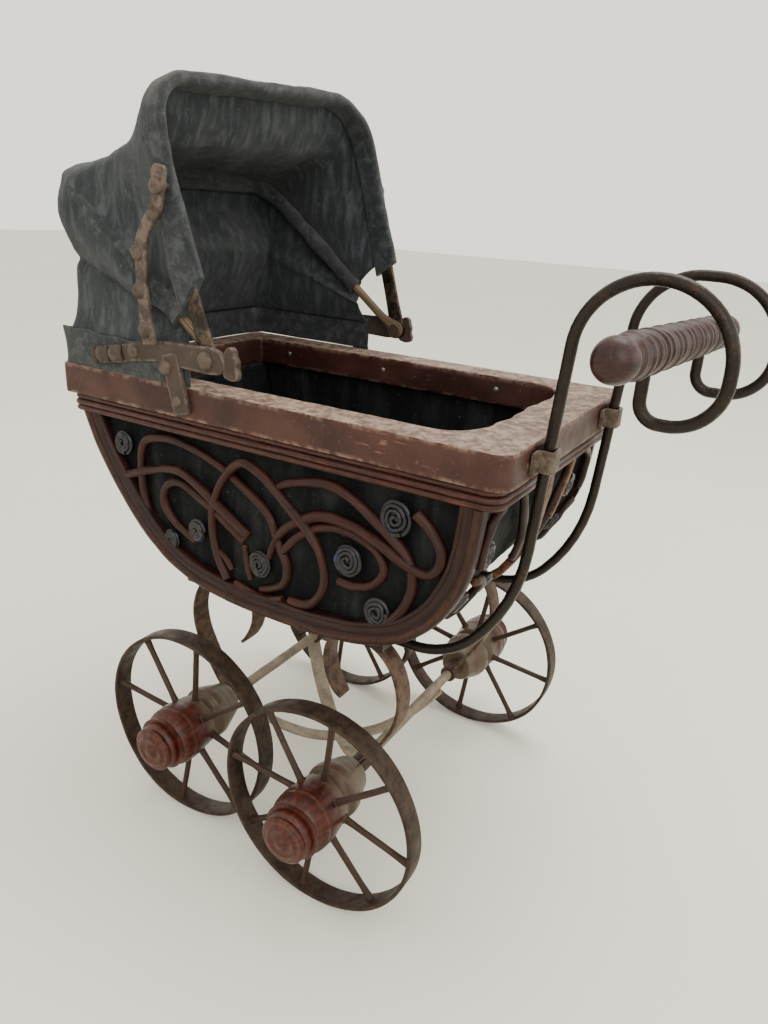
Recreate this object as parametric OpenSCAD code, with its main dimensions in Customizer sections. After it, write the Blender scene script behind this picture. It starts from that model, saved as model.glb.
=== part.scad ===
// Doll stroller: boat-shaped cane body on C springs, folding cloth hood, scrolled handle.
// Millimetres, +X towards the handle, +Z up, wheels on the floor at z = 0.

/* [Wheels] */
// wheel outer radius
wheel_r = 60; // [45:1:80]
// width of the flat iron wheel band
band_w = 12.4; // [8:0.2:20]
// thickness of the wheel band
band_t = 2.2; // [1.2:0.1:4]
// spoke rod diameter
spoke_d = 3.4; // [2:0.1:5]
// number of spokes
spokes = 8; // [6:1:12]
// hub length along the axle
hub_len = 64; // [50:1:70]
// largest hub radius
hub_r = 17.5; // [12:0.5:20]
// axle rod diameter
axle_d = 6.5; // [5:0.1:8]
// distance between the two axles
wheelbase = 104; // [90:1:130]
// distance between the wheel bands at the hood end
track_hood = 172.8; // [160:0.4:190]
// distance between the wheel bands at the handle end
track_handle = 198.4; // [180:0.4:210]

/* [Body] */
// rim length
rim_l = 272; // [250:1:290]
// rim width
rim_w = 171; // [160:1:180]
// height of the rim's top face
rim_z = 267; // [250:1:280]
// height of the rim boards
board_h = 16.9; // [12:0.1:22]
// width of the side boards seen from above
board_w = 20; // [14:0.5:26]
// width of the handle-end board
board_end_w = 27; // [18:0.5:32]
// rim centre behind the middle of the wheelbase
rim_x = -5; // [-12:0.5:4]
// cane rod diameter
cane_d = 5.4; // [4:0.1:7]
// lining cloth thickness
cloth_t = 1.4; // [1:0.1:2]

/* [Handle] */
// handle rod diameter
rod_d = 5.6; // [4.5:0.1:7]
// half the distance between the handle rods
rod_y = 51; // [45:0.5:60]
// how much lower the far rod stands
far_drop = 2.8; // [0:0.1:5]
// how much further out the far rod's scroll reaches
far_reach = 6.3; // [0:0.1:8]
// grip length
grip_l = 228; // [200:1:250]
// grip largest radius
grip_r = 9.5; // [6:0.25:11]

/* [Springs] */
// width of the spring strips
strip_w = 12.8; // [10:0.2:16]
// thickness of the spring strips
strip_t = 2.2; // [1.5:0.1:3]

/* [Hood] */
// height of the bow pivots
hood_z = 283; // [278:0.5:290]
// position of the bow pivots along the body
hood_x = -26; // [-32:0.5:-18]
// backward lean of the front bow
front_lean = 16; // [10:0.5:30]
// backward lean of the middle bow
mid_lean = 52; // [45:0.5:60]
// length of the front bow
front_len = 136; // [115:1:145]
// length of the middle bow
mid_len = 135; // [125:1:150]

/* [Hidden] */
x_shift = -34.8;
running = 0.08;
x0 = rim_x - rim_l / 2;
x1 = rim_x + rim_l / 2;
yr = rim_w / 2;
board_z = rim_z - board_h;
axle_x = wheelbase / 2;
ring_gap = 0.5;
near_y_hood = track_hood / 2 - hub_len / 2 - ring_gap;
near_y_handle = track_handle / 2 - hub_len / 2 - ring_gap;
// boat outline of the side frame, hood end to handle end
boat = [[-130, 240], [-122, 222], [-112, 206], [-100, 190], [-88, 177], [-77, 168], [-66, 161],
    [-49, 154.5], [-30, 151], [-10, 149.5], [23, 149.5], [45, 151], [65, 154.5], [86, 163],
    [102, 177], [112, 193], [117, 207], [120, 226], [121, 240]];
// outline of the cloth tub inside the side frames
tub = [[-123, 250], [-118, 223], [-108, 207], [-96, 191], [-84, 178], [-73, 169], [-62, 163],
    [-47, 158], [-30, 154.8], [-10, 153.6], [23, 153.6], [45, 155.2], [63, 158.8], [82, 167],
    [97, 180.5], [107, 196], [112, 209], [115, 227], [116, 250]];
tub_y = 74;

function unit(v) = v / norm(v);
function tangent(p, i) = unit(p[min(i + 1, len(p) - 1)] - p[max(i - 1, 0)]);
function shifted(p, t) = [for (i = [0:len(p) - 1]) p[i] + t * [-tangent(p, i)[1], tangent(p, i)[0]]];
function backwards(p) = [for (i = [len(p) - 1:-1:0]) p[i]];
// smooth curve through the points of p, n pieces per span
function cr(a, b, c, d, t) = 0.5 * (2 * b + (c - a) * t + (2 * a - 5 * b + 4 * c - d) * t * t
    + (3 * b - a - 3 * c + d) * t * t * t);
function smooth(p, n) = concat([for (i = [0:len(p) - 2], k = [0:n - 1])
    cr(p[max(i - 1, 0)], p[i], p[i + 1], p[min(i + 2, len(p) - 1)], k / n)], [p[len(p) - 1]]);
// x of the boat outline at height z, handle end
function end_x(z) = lookup(z, [[149.5, 23], [151, 45], [154.5, 65], [163, 86], [177, 102],
    [193, 112], [207, 117], [226, 120], [240, 121]]);
// x of the boat outline at height z, hood end
function hood_end_x(z) = lookup(z, [[149.5, -10], [154.5, -49], [161, -66], [168, -77], [177, -88],
    [190, -100], [206, -112], [222, -122], [240, -130]]);

// moves a part built about the wheelbase centre into the final frame
module placed() {
    translate([x_shift, 0, 0])
        children();
}

// stands a profile drawn in the X-Z plane up, from y to y + w
module along_y(y, w) {
    translate([0, y + w, 0])
        rotate([90, 0, 0])
            linear_extrude(w)
                children();
}

// flat strip of thickness t that follows the curve p
module strip_profile(p, t) {
    polygon(concat(shifted(p, t / 2), backwards(shifted(p, -t / 2))));
}

// round rod through 3-D points
module rod3(p, r) {
    for (i = [0:len(p) - 2])
        hull() {
            translate(p[i])
                sphere(r, $fn = 8);
            translate(p[i + 1])
                sphere(r, $fn = 8);
        }
}

// solid of revolution about Y from a profile of [radius, distance] pairs
module turned(p) {
    rotate([-90, 0, 0])
        rotate_extrude($fn = 64)
            polygon(p);
}

module both_sides() {
    children();
    mirror([0, 1, 0])
        children();
}

// ---------- wheels ----------
// local frame: centre on the band's middle plane, outboard is -Y
module wheel_band() {
    rotate([90, 0, 0])
        difference() {
            cylinder(h = band_w, r = wheel_r, center = true, $fn = 96);
            cylinder(h = band_w + 2, r = wheel_r - band_t, center = true, $fn = 96);
        }
}

module wheel_spokes() {
    for (i = [0:spokes - 1])
        rotate([0, i * 360 / spokes + 8, 0])
            translate([0, (i % 2 == 0) ? 3.2 : -3.2, 0])
                rotate([(i % 2 == 0) ? 4.2 : -4.2, 0, 0])
                    translate([0, 0, hub_r - 5])
                        cylinder(h = wheel_r - band_t - hub_r + 5.6, r = spoke_d / 2, $fn = 24);
}

module wheel_hub() {
    h = hub_len / 2;
    bore = axle_d / 2 + running;
    difference() {
        turned([[0, -h + 8], [hub_r - 2.5, -h + 8], [hub_r - 1.6, -h + 9.5], [hub_r - 2.6, -h + 11],
            [hub_r - 1.2, -h + 13], [hub_r, -h + 18], [hub_r, -h + 22], [hub_r - 0.8, -4],
            [hub_r - 1.6, 4], [hub_r - 4, 8], [hub_r - 4, 10], [hub_r - 1.2, 12],
            [hub_r - 1.2, 17], [hub_r - 4, h - 8], [hub_r - 6.5, h], [0, h]]);
        rotate([90, 0, 0])
            cylinder(h = hub_len + 4, r = bore, center = true, $fn = 48);
        translate([0, -h + 14, 0])
            rotate([90, 0, 0])
                cylinder(h = 20, r = 5.4, $fn = 48);
    }
}

module wheel_cap() {
    h = hub_len / 2;
    difference() {
        turned([[0, -h - 2.2], [2.4, -h - 1.8], [3.2, -h], [7, -h], [8.6, -h - 0.8], [12.4, -h + 0.6],
            [13.2, -h + 2.4], [12.2, -h + 4], [13.6, -h + 5], [13.8, -h + 8], [0, -h + 8]]);
        translate([0, -h + 9, 0])
            rotate([90, 0, 0])
                cylinder(h = 4.4, r = 5.4, $fn = 48);
    }
}

// puts a wheel part at end sx (-1 hood, 1 handle) and side sy (-1 near, 1 far)
module wheel_at(sx, sy) {
    track = (sx < 0) ? track_hood : track_handle;
    placed()
        translate([sx * axle_x, sy * track / 2, wheel_r])
            mirror([0, (sy > 0) ? 1 : 0, 0])
                children();
}

module wheel_hn_band() { color([0.28, 0.18, 0.15]) wheel_at(-1, -1) wheel_band(); }
module wheel_hn_spokes() { color([0.25, 0.17, 0.14]) wheel_at(-1, -1) wheel_spokes(); }
module wheel_hn_hub() { color([0.35, 0.18, 0.15]) wheel_at(-1, -1) wheel_hub(); }
module wheel_hn_cap() { color([0.35, 0.18, 0.15]) wheel_at(-1, -1) wheel_cap(); }
module wheel_hf_band() { color([0.28, 0.18, 0.15]) wheel_at(-1, 1) wheel_band(); }
module wheel_hf_spokes() { color([0.25, 0.17, 0.14]) wheel_at(-1, 1) wheel_spokes(); }
module wheel_hf_hub() { color([0.35, 0.18, 0.15]) wheel_at(-1, 1) wheel_hub(); }
module wheel_hf_cap() { color([0.35, 0.18, 0.15]) wheel_at(-1, 1) wheel_cap(); }
module wheel_gn_band() { color([0.28, 0.18, 0.15]) wheel_at(1, -1) wheel_band(); }
module wheel_gn_spokes() { color([0.25, 0.17, 0.14]) wheel_at(1, -1) wheel_spokes(); }
module wheel_gn_hub() { color([0.35, 0.18, 0.15]) wheel_at(1, -1) wheel_hub(); }
module wheel_gn_cap() { color([0.35, 0.18, 0.15]) wheel_at(1, -1) wheel_cap(); }
module wheel_gf_band() { color([0.28, 0.18, 0.15]) wheel_at(1, 1) wheel_band(); }
module wheel_gf_spokes() { color([0.25, 0.17, 0.14]) wheel_at(1, 1) wheel_spokes(); }
module wheel_gf_hub() { color([0.35, 0.18, 0.15]) wheel_at(1, 1) wheel_hub(); }
module wheel_gf_cap() { color([0.35, 0.18, 0.15]) wheel_at(1, 1) wheel_cap(); }

// ---------- running gear ----------
// straight rod with a small head in each hub's end chamber
module axle_rod(sx, track) {
    end_y = track / 2 + hub_len / 2 - 12;
    placed()
        translate([sx * axle_x, 0, wheel_r])
            rotate([90, 0, 0]) {
                cylinder(h = 2 * end_y, r = axle_d / 2, center = true, $fn = 48);
                for (s = [-1, 1])
                    translate([0, 0, s * (end_y - 0.6)])
                        cylinder(h = 2, r = 4.8, center = true, $fn = 32);
            }
}

module axle_hood() {
    color([0.5, 0.45, 0.4])
        axle_rod(-1, track_hood);
}

module axle_handle() {
    color([0.5, 0.45, 0.4])
        axle_rod(1, track_handle);
}

// C spring drawn for the handle end; mirrored in X for the hood end
spring_curve = smooth([[54.5, 64.6], [61, 73], [69, 86], [75.5, 99], [78, 111], [77, 122], [72.5, 133],
    [65, 141], [56, 145.3], [46.5, 146.1], [38.5, 143.4], [32.5, 137], [30.5, 128], [32, 118],
    [36.5, 109], [41, 104]], 3);

module c_spring(sx, y) {
    placed()
        mirror([(sx < 0) ? 1 : 0, 0, 0])
            difference() {
                union() {
                    along_y(y, strip_w)
                        strip_profile(spring_curve, strip_t);
                    translate([axle_x, y + strip_w, wheel_r])
                        rotate([90, 0, 0])
                            cylinder(h = strip_w, r = axle_d / 2 + 2.2, $fn = 48);
                }
                translate([axle_x, y + strip_w + 1, wheel_r])
                    rotate([90, 0, 0])
                        cylinder(h = strip_w + 2, r = axle_d / 2 + 0.02, $fn = 48);
            }
}

module spring_hood_near() {
    color([0.3, 0.2, 0.16])
        c_spring(-1, -near_y_hood);
}

module spring_hood_far() {
    color([0.3, 0.2, 0.16])
        c_spring(-1, near_y_hood - strip_w);
}

module spring_handle_near() {
    color([0.3, 0.2, 0.16])
        c_spring(1, -near_y_handle);
}

module spring_handle_far() {
    color([0.3, 0.2, 0.16])
        c_spring(1, near_y_handle - strip_w);
}

// domed bolt heads below the spring tops
module spring_bolts() {
    color([0.3, 0.22, 0.18])
        placed()
            for (sx = [-1, 1], sy = [-1, 1])
                translate([sx * 50, sy * (((sx < 0) ? near_y_hood : near_y_handle) - strip_w / 2), 144.95])
                    mirror([0, 0, 1])
                        rotate_extrude($fn = 32)
                            polygon([[0, 0], [3.6, 0], [3.4, 1.2], [2.2, 2.3], [0, 2.8]]);
}

// sagging flat brace from one axle to the other, at an angle in plan
module brace(sy, drop) {
    x_end = axle_x + 1;
    y_end = 42;
    half = norm([x_end, y_end]);
    curve = [for (i = [-12:12]) [i / 12 * half, drop + (55.6 - drop) * pow(abs(i / 12), 2.2)]];
    placed()
        rotate([0, 0, sy * atan(y_end / x_end)])
            along_y(-5, 10)
                strip_profile(curve, 2);
}

module brace_a() {
    color([0.5, 0.46, 0.4])
        brace(1, 20);
}

module brace_b() {
    color([0.5, 0.46, 0.4])
        brace(-1, 22.2);
}

// ---------- body ----------
module rounded_plan(xa, xb, y, ra, rb) {
    union() {
        translate([xa, -y + ra])
            square([ra, 2 * (y - ra)]);
        translate([xb - rb, -y + rb])
            square([rb, 2 * (y - rb)]);
        translate([xa + ra, -y])
            square([xb - xa - ra - rb, 2 * y]);
        for (s = [-1, 1]) {
            translate([xa + ra, s * (y - ra)])
                circle(ra, $fn = 48);
            translate([xb - rb, s * (y - rb)])
                circle(rb, $fn = 48);
        }
    }
}

module rim_boards() {
    color([0.3, 0.14, 0.12])
        placed()
            translate([0, 0, board_z])
                difference() {
                    linear_extrude(board_h)
                        rounded_plan(x0, x1, yr, 3, 9);
                    translate([0, 0, -1])
                        linear_extrude(board_h + 2)
                            rounded_plan(x0 + board_w, x1 - board_end_w, yr - board_w, 2, 22);
                    for (s = [-1, 1])
                        translate([x1 - 25, s * rod_y, board_h / 2 - 2])
                            rotate([0, 90, 0])
                                cylinder(h = 40, r = 1.3, $fn = 24);
                }
}

// three half-round reeds in a stepped section, as closed rings under the boards
module molding_ring(out, z, h) {
    translate([0, 0, z])
        difference() {
            linear_extrude(h)
                rounded_plan(x0 + 6 - out, x1 - 4 + out, yr - 2.6 + out, 3, 8);
            translate([0, 0, -1])
                linear_extrude(h + 2)
                    rounded_plan(x0 + 13, x1 - 11, yr - 9, 2, 4);
        }
}

module rim_molding() {
    color([0.42, 0.2, 0.15])
        placed() {
            molding_ring(0, board_z - 10.6, 10.6);
            molding_ring(1, board_z - 10, 2.4);
            molding_ring(1.2, board_z - 6.4, 2.4);
            molding_ring(1, board_z - 2.9, 2.3);
        }
}

// flat cane band of three reeds along the boat outline
module side_frame(s) {
    y = (s < 0) ? -yr + 2.5 : yr - 8;
    deep = (s < 0) ? -0.7 : 0.7;
    placed() {
        along_y(y, 5.5)
            polygon(concat(boat, backwards(shifted(boat, 12))));
        along_y(y + deep, 5.5)
            polygon(concat(shifted(boat, 1), backwards(shifted(boat, 4))));
        along_y(y + deep, 5.5)
            polygon(concat(shifted(boat, 5), backwards(shifted(boat, 8))));
    }
}

module side_frame_near() {
    color([0.42, 0.2, 0.14])
        side_frame(-1);
}

module side_frame_far() {
    color([0.42, 0.2, 0.14])
        side_frame(1);
}

// centre lines of the scrolled cane rods of one side, in the X-Z plane
scroll_lines = [
    [[-113, 216], [-103, 207], [-85, 213], [-62, 218], [-44, 212], [-11, 193]],
    [[-84, 183], [-89, 204], [-87, 228], [-71, 234], [-54, 233], [-32, 227], [-11, 216], [2, 207],
        [8, 194], [14, 182], [11, 170], [-4, 163]],
    [[-14, 189], [-44, 205], [-60, 211], [-70, 207], [-72, 197], [-64, 186], [-49, 179]],
    [[-25, 164], [-33, 180], [-35, 202], [-27, 221], [-14, 233], [-1, 229], [14, 218], [27, 208],
        [36, 196], [39, 180], [31, 166], [17, 164]],
    [[5, 222], [18, 229], [36, 233], [49, 231], [63, 224], [76, 215], [86, 205], [88, 193],
        [84, 180], [77, 171]],
    [[9, 198], [19, 208], [36, 216], [53, 216], [69, 211], [84, 204], [95, 202], [101, 207],
        [102, 215], [97, 223], [88, 231]],
    [[12, 190], [23, 202], [38, 210], [53, 211], [66, 206], [72, 197], [67, 188], [57, 184], [47, 184]]];

module scrolls(s) {
    placed()
        for (line = scroll_lines)
            rod3([for (q = smooth(line, 2)) [q[0], s * 79.6, q[1]]], cane_d / 2);
}

module scrolls_near() {
    color([0.45, 0.24, 0.16])
        scrolls(-1);
}

module scrolls_far() {
    color([0.45, 0.24, 0.16])
        scrolls(1);
}

// coiled cane button, axis along +Z, seated at z = 0
module coil(r) {
    rotate_extrude($fn = 40)
        polygon([[0, 0], [r - 0.6, 0], [r, 1.6], [r - 0.5, 3.6], [r - 1.6, 4.3], [r - 2.8, 3.4],
            [r * 0.52, 4.6], [r * 0.4, 3.6], [r * 0.2, 4.8], [0, 4.2]]);
}

// centre and radius of each coil of a side
coil_spots = [[-101, 226, 6.6], [-47, 186.5, 6.2], [-67, 175.5, 6], [-3, 178.5, 7.2], [52, 196.5, 8],
    [77, 225, 8.6], [70, 173.5, 7.6]];

module side_coils(s) {
    placed()
        for (c = coil_spots)
            translate([c[0], s * 77.6, c[1]])
                rotate([(s < 0) ? 90 : -90, 0, 0])
                    coil(c[2]);
}

module coils_near() {
    color([0.12, 0.13, 0.18])
        side_coils(-1);
}

module coils_far() {
    color([0.12, 0.13, 0.18])
        side_coils(1);
}

// cane rods that follow the curved handle end, as [y, z] pairs
end_lines = [
    [[-58, 236], [-68, 232], [-72, 222], [-71, 208]],
    [[-70, 200], [-58, 196], [-54, 184], [-60, 172]],
    [[58, 236], [68, 232], [72, 222], [71, 208]],
    [[70, 200], [58, 196], [54, 184], [60, 172]],
    [[36, 236], [22, 212], [12, 190]],
    [[-36, 236], [-22, 212], [-12, 190]]];

module end_scrolls_handle() {
    color([0.4, 0.2, 0.15])
        placed() {
            for (line = end_lines)
                rod3([for (q = smooth(line, 2)) [end_x(q[1]) - 0.4, q[0], q[1]]], 2.5);
            rod3([for (z = [236, 222, 207, 193, 180, 170]) [end_x(z) + 0.6, -3, z]], 3.4);
        }
}

module end_scrolls_hood() {
    color([0.4, 0.2, 0.15])
        placed() {
            for (line = end_lines)
                rod3([for (q = smooth(line, 2)) [hood_end_x(q[1]) + 0.4, q[0], q[1]]], 2.5);
            rod3([for (z = [236, 222, 207, 193, 180, 170]) [hood_end_x(z) - 0.6, 3, z]], 3.4);
        }
}

// coils on both curved ends: end (-1 hood, 1 handle), y, z, radius, lean
end_coils = [[1, -63, 212, 7], [1, -62, 184, 6.4], [1, 47, 217, 7], [1, 55, 190, 6.4],
    [1, -30, 182, 6], [-1, -60, 213, 7], [-1, 60, 213, 7], [-1, -40, 186, 6.4], [-1, 40, 186, 6.4]];

module coils_ends() {
    color([0.12, 0.13, 0.18])
        placed()
            for (c = end_coils)
                translate([(c[0] > 0) ? end_x(c[2]) - 3.4 : hood_end_x(c[2]) + 5.4, c[1], c[2]])
                    rotate([0, c[0] * ((c[0] > 0) ? 90 + (220 - c[2]) * 0.8 : 90 + (240 - c[2]) * 0.9), 0])
                        coil(c[3]);
}

module tub_lining() {
    color([0.07, 0.075, 0.08])
        placed() {
            along_y(-tub_y, 2 * tub_y)
                polygon(concat(tub, backwards(shifted(tub, cloth_t))));
            for (s = [-1, 1])
                along_y((s < 0) ? -tub_y - cloth_t : tub_y, cloth_t)
                    polygon(tub);
        }
}

module base_board() {
    color([0.3, 0.2, 0.14])
        placed()
            translate([-64, -72, 147.3])
                cube([134, 144, 6.1]);
}

// ---------- handle ----------
// follows a path of ["s", length] and ["a", radius, degrees] steps in the local X-Y plane;
// a slight bead closes every joint between two steps
module bent_rod(path, r, i = 0) {
    if (i < len(path)) {
        step = path[i];
        if (i > 0)
            rotate([0, 90, 0])
                sphere(r + 0.15, $fn = 48);
        if (step[0] == "s") {
            rotate([0, 90, 0])
                cylinder(h = step[1], r = r, $fn = 32);
            translate([step[1], 0, 0])
                bent_rod(path, r, i + 1);
        } else {
            side = (step[2] > 0) ? 1 : -1;
            gap = 4 / step[1];
            translate([0, side * step[1], 0])
                rotate([0, 0, ((side > 0) ? -90 : 90 + step[2]) + gap])
                    rotate_extrude(angle = abs(step[2]) - 2 * gap, $fn = 64)
                        translate([step[1], 0])
                            circle(r, $fn = 32);
            translate([step[1] * sin(abs(step[2])), side * step[1] * (1 - cos(step[2])), 0])
                rotate([0, 0, step[2]])
                    bent_rod(path, r, i + 1);
        }
    }
}

// the far rod stands lower and its scroll reaches further out by reach
module handle_rod(y, drop, reach) {
    top = (reach > 0) ? [["a", 31, -86], ["s", reach], ["a", 32, -90]] :
        [["a", 31, -86], ["a", 32, -90]];
    placed()
        translate([24, y, 143.4])
            rotate([90, 0, 0])
                bent_rod(concat([["s", 51.5], ["a", 45, 50], ["a", 95, 36], ["s", 96 - drop]], top,
                    [["s", 4], ["a", 20, -90], ["s", 3 + reach * 0.4], ["a", 9, -90], ["s", 14]]),
                    rod_d / 2);
}

module handle_rod_near() {
    color([0.2, 0.18, 0.15])
        handle_rod(-rod_y, 0, 0);
}

module handle_rod_far() {
    color([0.2, 0.18, 0.15])
        handle_rod(rod_y, far_drop, far_reach);
}

// turned grip, beads and coves repeated along its length
grip_half = grip_l / 2;
grip_beads = [for (i = [0:8]) -grip_half + 28 + i * (grip_l - 56) / 8];
grip_side = concat([[0, -grip_half], [5, -grip_half + 0.8], [7.9, -grip_half + 3.8],
    [8.8, -grip_half + 8], [8.2, -grip_half + 12], [6.8, -grip_half + 15]],
    [for (b = grip_beads, k = [[grip_r - 1.2, -8], [grip_r - 0.4, -3.5], [grip_r - 1.3, -2.4],
        [grip_r, 0], [grip_r - 1.3, 2.4], [grip_r - 0.4, 3.5]]) [k[0], b + k[1]]],
    [[6.8, grip_half - 15], [8.2, grip_half - 12], [8.8, grip_half - 8], [7.9, grip_half - 3.8],
        [5, grip_half - 0.8], [0, grip_half]]);

module handle_grip() {
    near_tip = [169.6, -rod_y, 305.5];
    far_tip = [173.3, rod_y, 302.7];
    color([0.35, 0.22, 0.2])
        placed()
            difference() {
                translate([171.8, 7, 308.7])
                    rotate([-2.6, 0, -1.2])
                        turned(grip_side);
                translate([near_tip[0], near_tip[1], near_tip[2] - 20])
                    cylinder(h = 20.2, r = rod_d / 2 + 0.02, $fn = 32);
                translate([far_tip[0], far_tip[1], far_tip[2] - 20])
                    cylinder(h = 20.2, r = rod_d / 2 + 0.02, $fn = 32);
            }
}

// hat-shaped iron bracket over each rod, on the rim's end face
module handle_clips() {
    color([0.34, 0.28, 0.22])
        placed()
            for (s = [-1, 1])
                translate([x1 + 0.1, s * rod_y, board_z + 3.2])
                    difference() {
                        union() {
                            translate([0, -12, 0])
                                cube([1.8, 24, 10.5]);
                            translate([0, -5.2, 0])
                                cube([9.1, 10.4, 10.5]);
                        }
                        translate([-1, -3.2, -1])
                            cube([8.5, 6.4, 13]);
                    }
}

module clip_screws() {
    color([0.4, 0.34, 0.28])
        placed()
            for (s = [-1, 1], t = [-1, 1])
                translate([x1 + 1.9, s * rod_y + t * 8.6, board_z + 8.4])
                    rotate([0, 90, 0])
                        difference() {
                            rotate_extrude($fn = 32)
                                polygon([[0, 0], [2.4, 0], [2.1, 0.9], [1.2, 1.5], [0, 1.7]]);
                            translate([-0.35, -3, 1])
                                cube([0.7, 6, 2]);
                        }
}

// small nails in the inner faces of the long boards
module rim_nails() {
    color([0.5, 0.48, 0.44])
        placed()
            for (x = [-96, -20, 60], s = [-1, 1])
                translate([x, s * (yr - board_w), rim_z - 8])
                    rotate([(s < 0) ? -90 : 90, 0, 0])
                        cylinder(h = 1, r = 1.6, $fn = 24);
}

// ---------- hood ----------
// moves a bow drawn in its own plane (legs along +Z from the pivot) to its lean
module bow_frame(lean) {
    placed()
        translate([hood_x, 0, hood_z])
            rotate([0, -lean, 0])
                children();
}

// U profile in the Y-Z plane: half width w, height h, corner radius r, thickness t
module u_half(w, h, r) {
    union() {
        translate([-w, 0])
            square([2 * w, h - r]);
        translate([-w + r, h - r])
            square([2 * (w - r), r]);
        for (s = [-1, 1])
            translate([s * (w - r), h - r])
                circle(r, $fn = 64);
    }
}

module u_strap(w, h, r, t, wide, low) {
    translate([-wide / 2, 0, 0])
        rotate([90, 0, 90])
            linear_extrude(wide)
                intersection() {
                    difference() {
                        u_half(w, h, r);
                        translate([0, -1])
                            u_half(w - t, h - t + 1, r - t);
                    }
                    translate([-w - 1, low])
                        square([2 * w + 2, h + 10]);
                }
}

bow_y = 85.1;
strap_t = 2.3;

module bow_front() {
    color([0.2, 0.17, 0.15])
        bow_frame(front_lean)
            difference() {
                union() {
                    u_strap(bow_y, front_len, 26, strap_t, 9, 0);
                    for (s = [-1, 1])
                        translate([0, (s < 0) ? -bow_y + strap_t : bow_y, 0])
                            rotate([90, 0, 0])
                                cylinder(h = strap_t, r = 6, $fn = 32);
                }
                rotate([90, 0, 0])
                    cylinder(h = 200, r = 2 + running, center = true, $fn = 32);
            }
}

module bow_front_hem() {
    color([0.07, 0.075, 0.085])
        bow_frame(front_lean)
            difference() {
                u_strap(bow_y + 1.8, front_len + 1.8, 27.8, strap_t + 4.4, 14, 44);
                u_strap(bow_y, front_len, 26, strap_t, 9, 0);
                for (s = [-1, 1])
                    translate([-2, s * bow_y, 81.92])
                        rotate([90, 0, 0])
                            cylinder(h = 12, r = 2.2, center = true, $fn = 24);
            }
}

mid_y = 79.7;
mid_foot_y = 81.2;

// dowel U of radius r drawn in the Y-Z plane from height low
module dowel_u(r, low) {
    rc = 18;
    for (s = [-1, 1]) {
        translate([0, s * mid_y, low])
            cylinder(h = mid_len - rc - low, r = r, $fn = 32);
        translate([0, s * (mid_y - rc), mid_len - rc])
            rotate([90, 0, 90])
                rotate([0, 0, (s < 0) ? 90 : 0])
                    rotate_extrude(angle = 90, $fn = 64)
                        translate([rc, 0])
                            circle(r, $fn = 32);
    }
    translate([0, 0, mid_len])
        rotate([90, 0, 0])
            cylinder(h = 2 * (mid_y - rc), r = r, center = true, $fn = 32);
}

module bow_mid() {
    color([0.45, 0.38, 0.28])
        bow_frame(mid_lean)
            difference() {
                union() {
                    dowel_u(2.6, 8);
                    for (s = [-1, 1])
                        translate([0, s * mid_foot_y + 1.2, 0])
                            rotate([90, 0, 0])
                                cylinder(h = 2.4, r = 6, $fn = 32);
                    for (s = [-1, 1])
                        translate([-2.6, s * mid_foot_y - 1.2, 3])
                            cube([5.2, 2.4, 9]);
                }
                rotate([90, 0, 0])
                    cylinder(h = 200, r = 2 + running, center = true, $fn = 32);
            }
}

module bow_mid_sleeve() {
    color([0.06, 0.065, 0.07])
        bow_frame(mid_lean)
            difference() {
                dowel_u(5, 50);
                dowel_u(2.6, 8);
            }
}

// pivot bolts through the near and far plates and both bow feet
module bow_bolts() {
    color([0.36, 0.3, 0.25])
        placed()
            both_sides()
                translate([hood_x, -87.9, hood_z])
                    rotate([-90, 0, 0]) {
                        cylinder(h = 10.2, r = 2, $fn = 32);
                        mirror([0, 0, 1])
                            rotate_extrude($fn = 32)
                                polygon([[0, 0], [4.6, 0], [4.2, 1.1], [2.6, 1.9], [0, 2.2]]);
                        translate([0, 0, 8.3])
                            cylinder(h = 1.9, r = 4, $fn = 32);
                    }
}

// T-shaped plate: bar beside the skirt, tab screwed to the rim board
module hood_plate() {
    placed()
        difference() {
            union() {
                along_y(-87.8, 2.2)
                    polygon([[-114, 270.5], [-88, 274], [-66, 278], [-30, 276.5], [-20, 277.5], [-17, 283],
                        [-20, 289], [-28, 290.5], [-60, 289], [-84, 284.5], [-113, 279]]);
                translate([-55, -87.8, 282])
                    rotate([0, 0, 0])
                        rotate([90, 0, 0])
                            rotate([0, 0, 14])
                                translate([-5.5, -30, -2.2])
                                    linear_extrude(2.2)
                                        square([11, 32]);
            }
            translate([hood_x, 0, hood_z])
                rotate([90, 0, 0])
                    cylinder(h = 300, r = 2.02, center = true, $fn = 32);
        }
}

module hood_plate_near() {
    color([0.38, 0.31, 0.26])
        hood_plate();
}

module hood_plate_far() {
    color([0.38, 0.31, 0.26])
        mirror([0, 1, 0])
            hood_plate();
}

module dome(r, h) {
    rotate_extrude($fn = 32)
        polygon([[0, 0], [r, 0], [r * 0.95, h * 0.35], [r * 0.72, h * 0.75], [r * 0.38, h * 0.96], [0, h]]);
}

// rivets and the slotted screw of each plate
module hood_rivets() {
    color([0.42, 0.34, 0.28])
        placed()
            both_sides()
                translate([0, -87.8, 0]) {
                    for (q = [[-106, 276.3], [-95, 278.2], [-81, 281], [-39, 283], [-57.5, 277.5]])
                        translate([q[0], 0, q[1]])
                            rotate([90, 0, 0])
                                dome(3.7, 2.3);
                    translate([-50.4, 0, 259.5])
                        rotate([90, 0, 0])
                            difference() {
                                dome(3, 1.6);
                                translate([-4, -0.4, 1])
                                    cube([8, 0.8, 2]);
                            }
                }
}

// cloth band on the rim round the hood end
module hood_skirt() {
    color([0.06, 0.065, 0.07])
        placed()
            translate([0, 0, rim_z + 0.1])
                difference() {
                    linear_extrude(19.9)
                        rounded_plan(x0 + 0.4, -44, 85.5, 5, 0.5);
                    translate([0, 0, -1])
                        linear_extrude(23)
                            rounded_plan(x0 + 0.4 + cloth_t, 40, 85.5 - cloth_t, 3.6, 0.5);
                }
}

// points of the hood's side view
crest_mid = [-131, 366];

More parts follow.
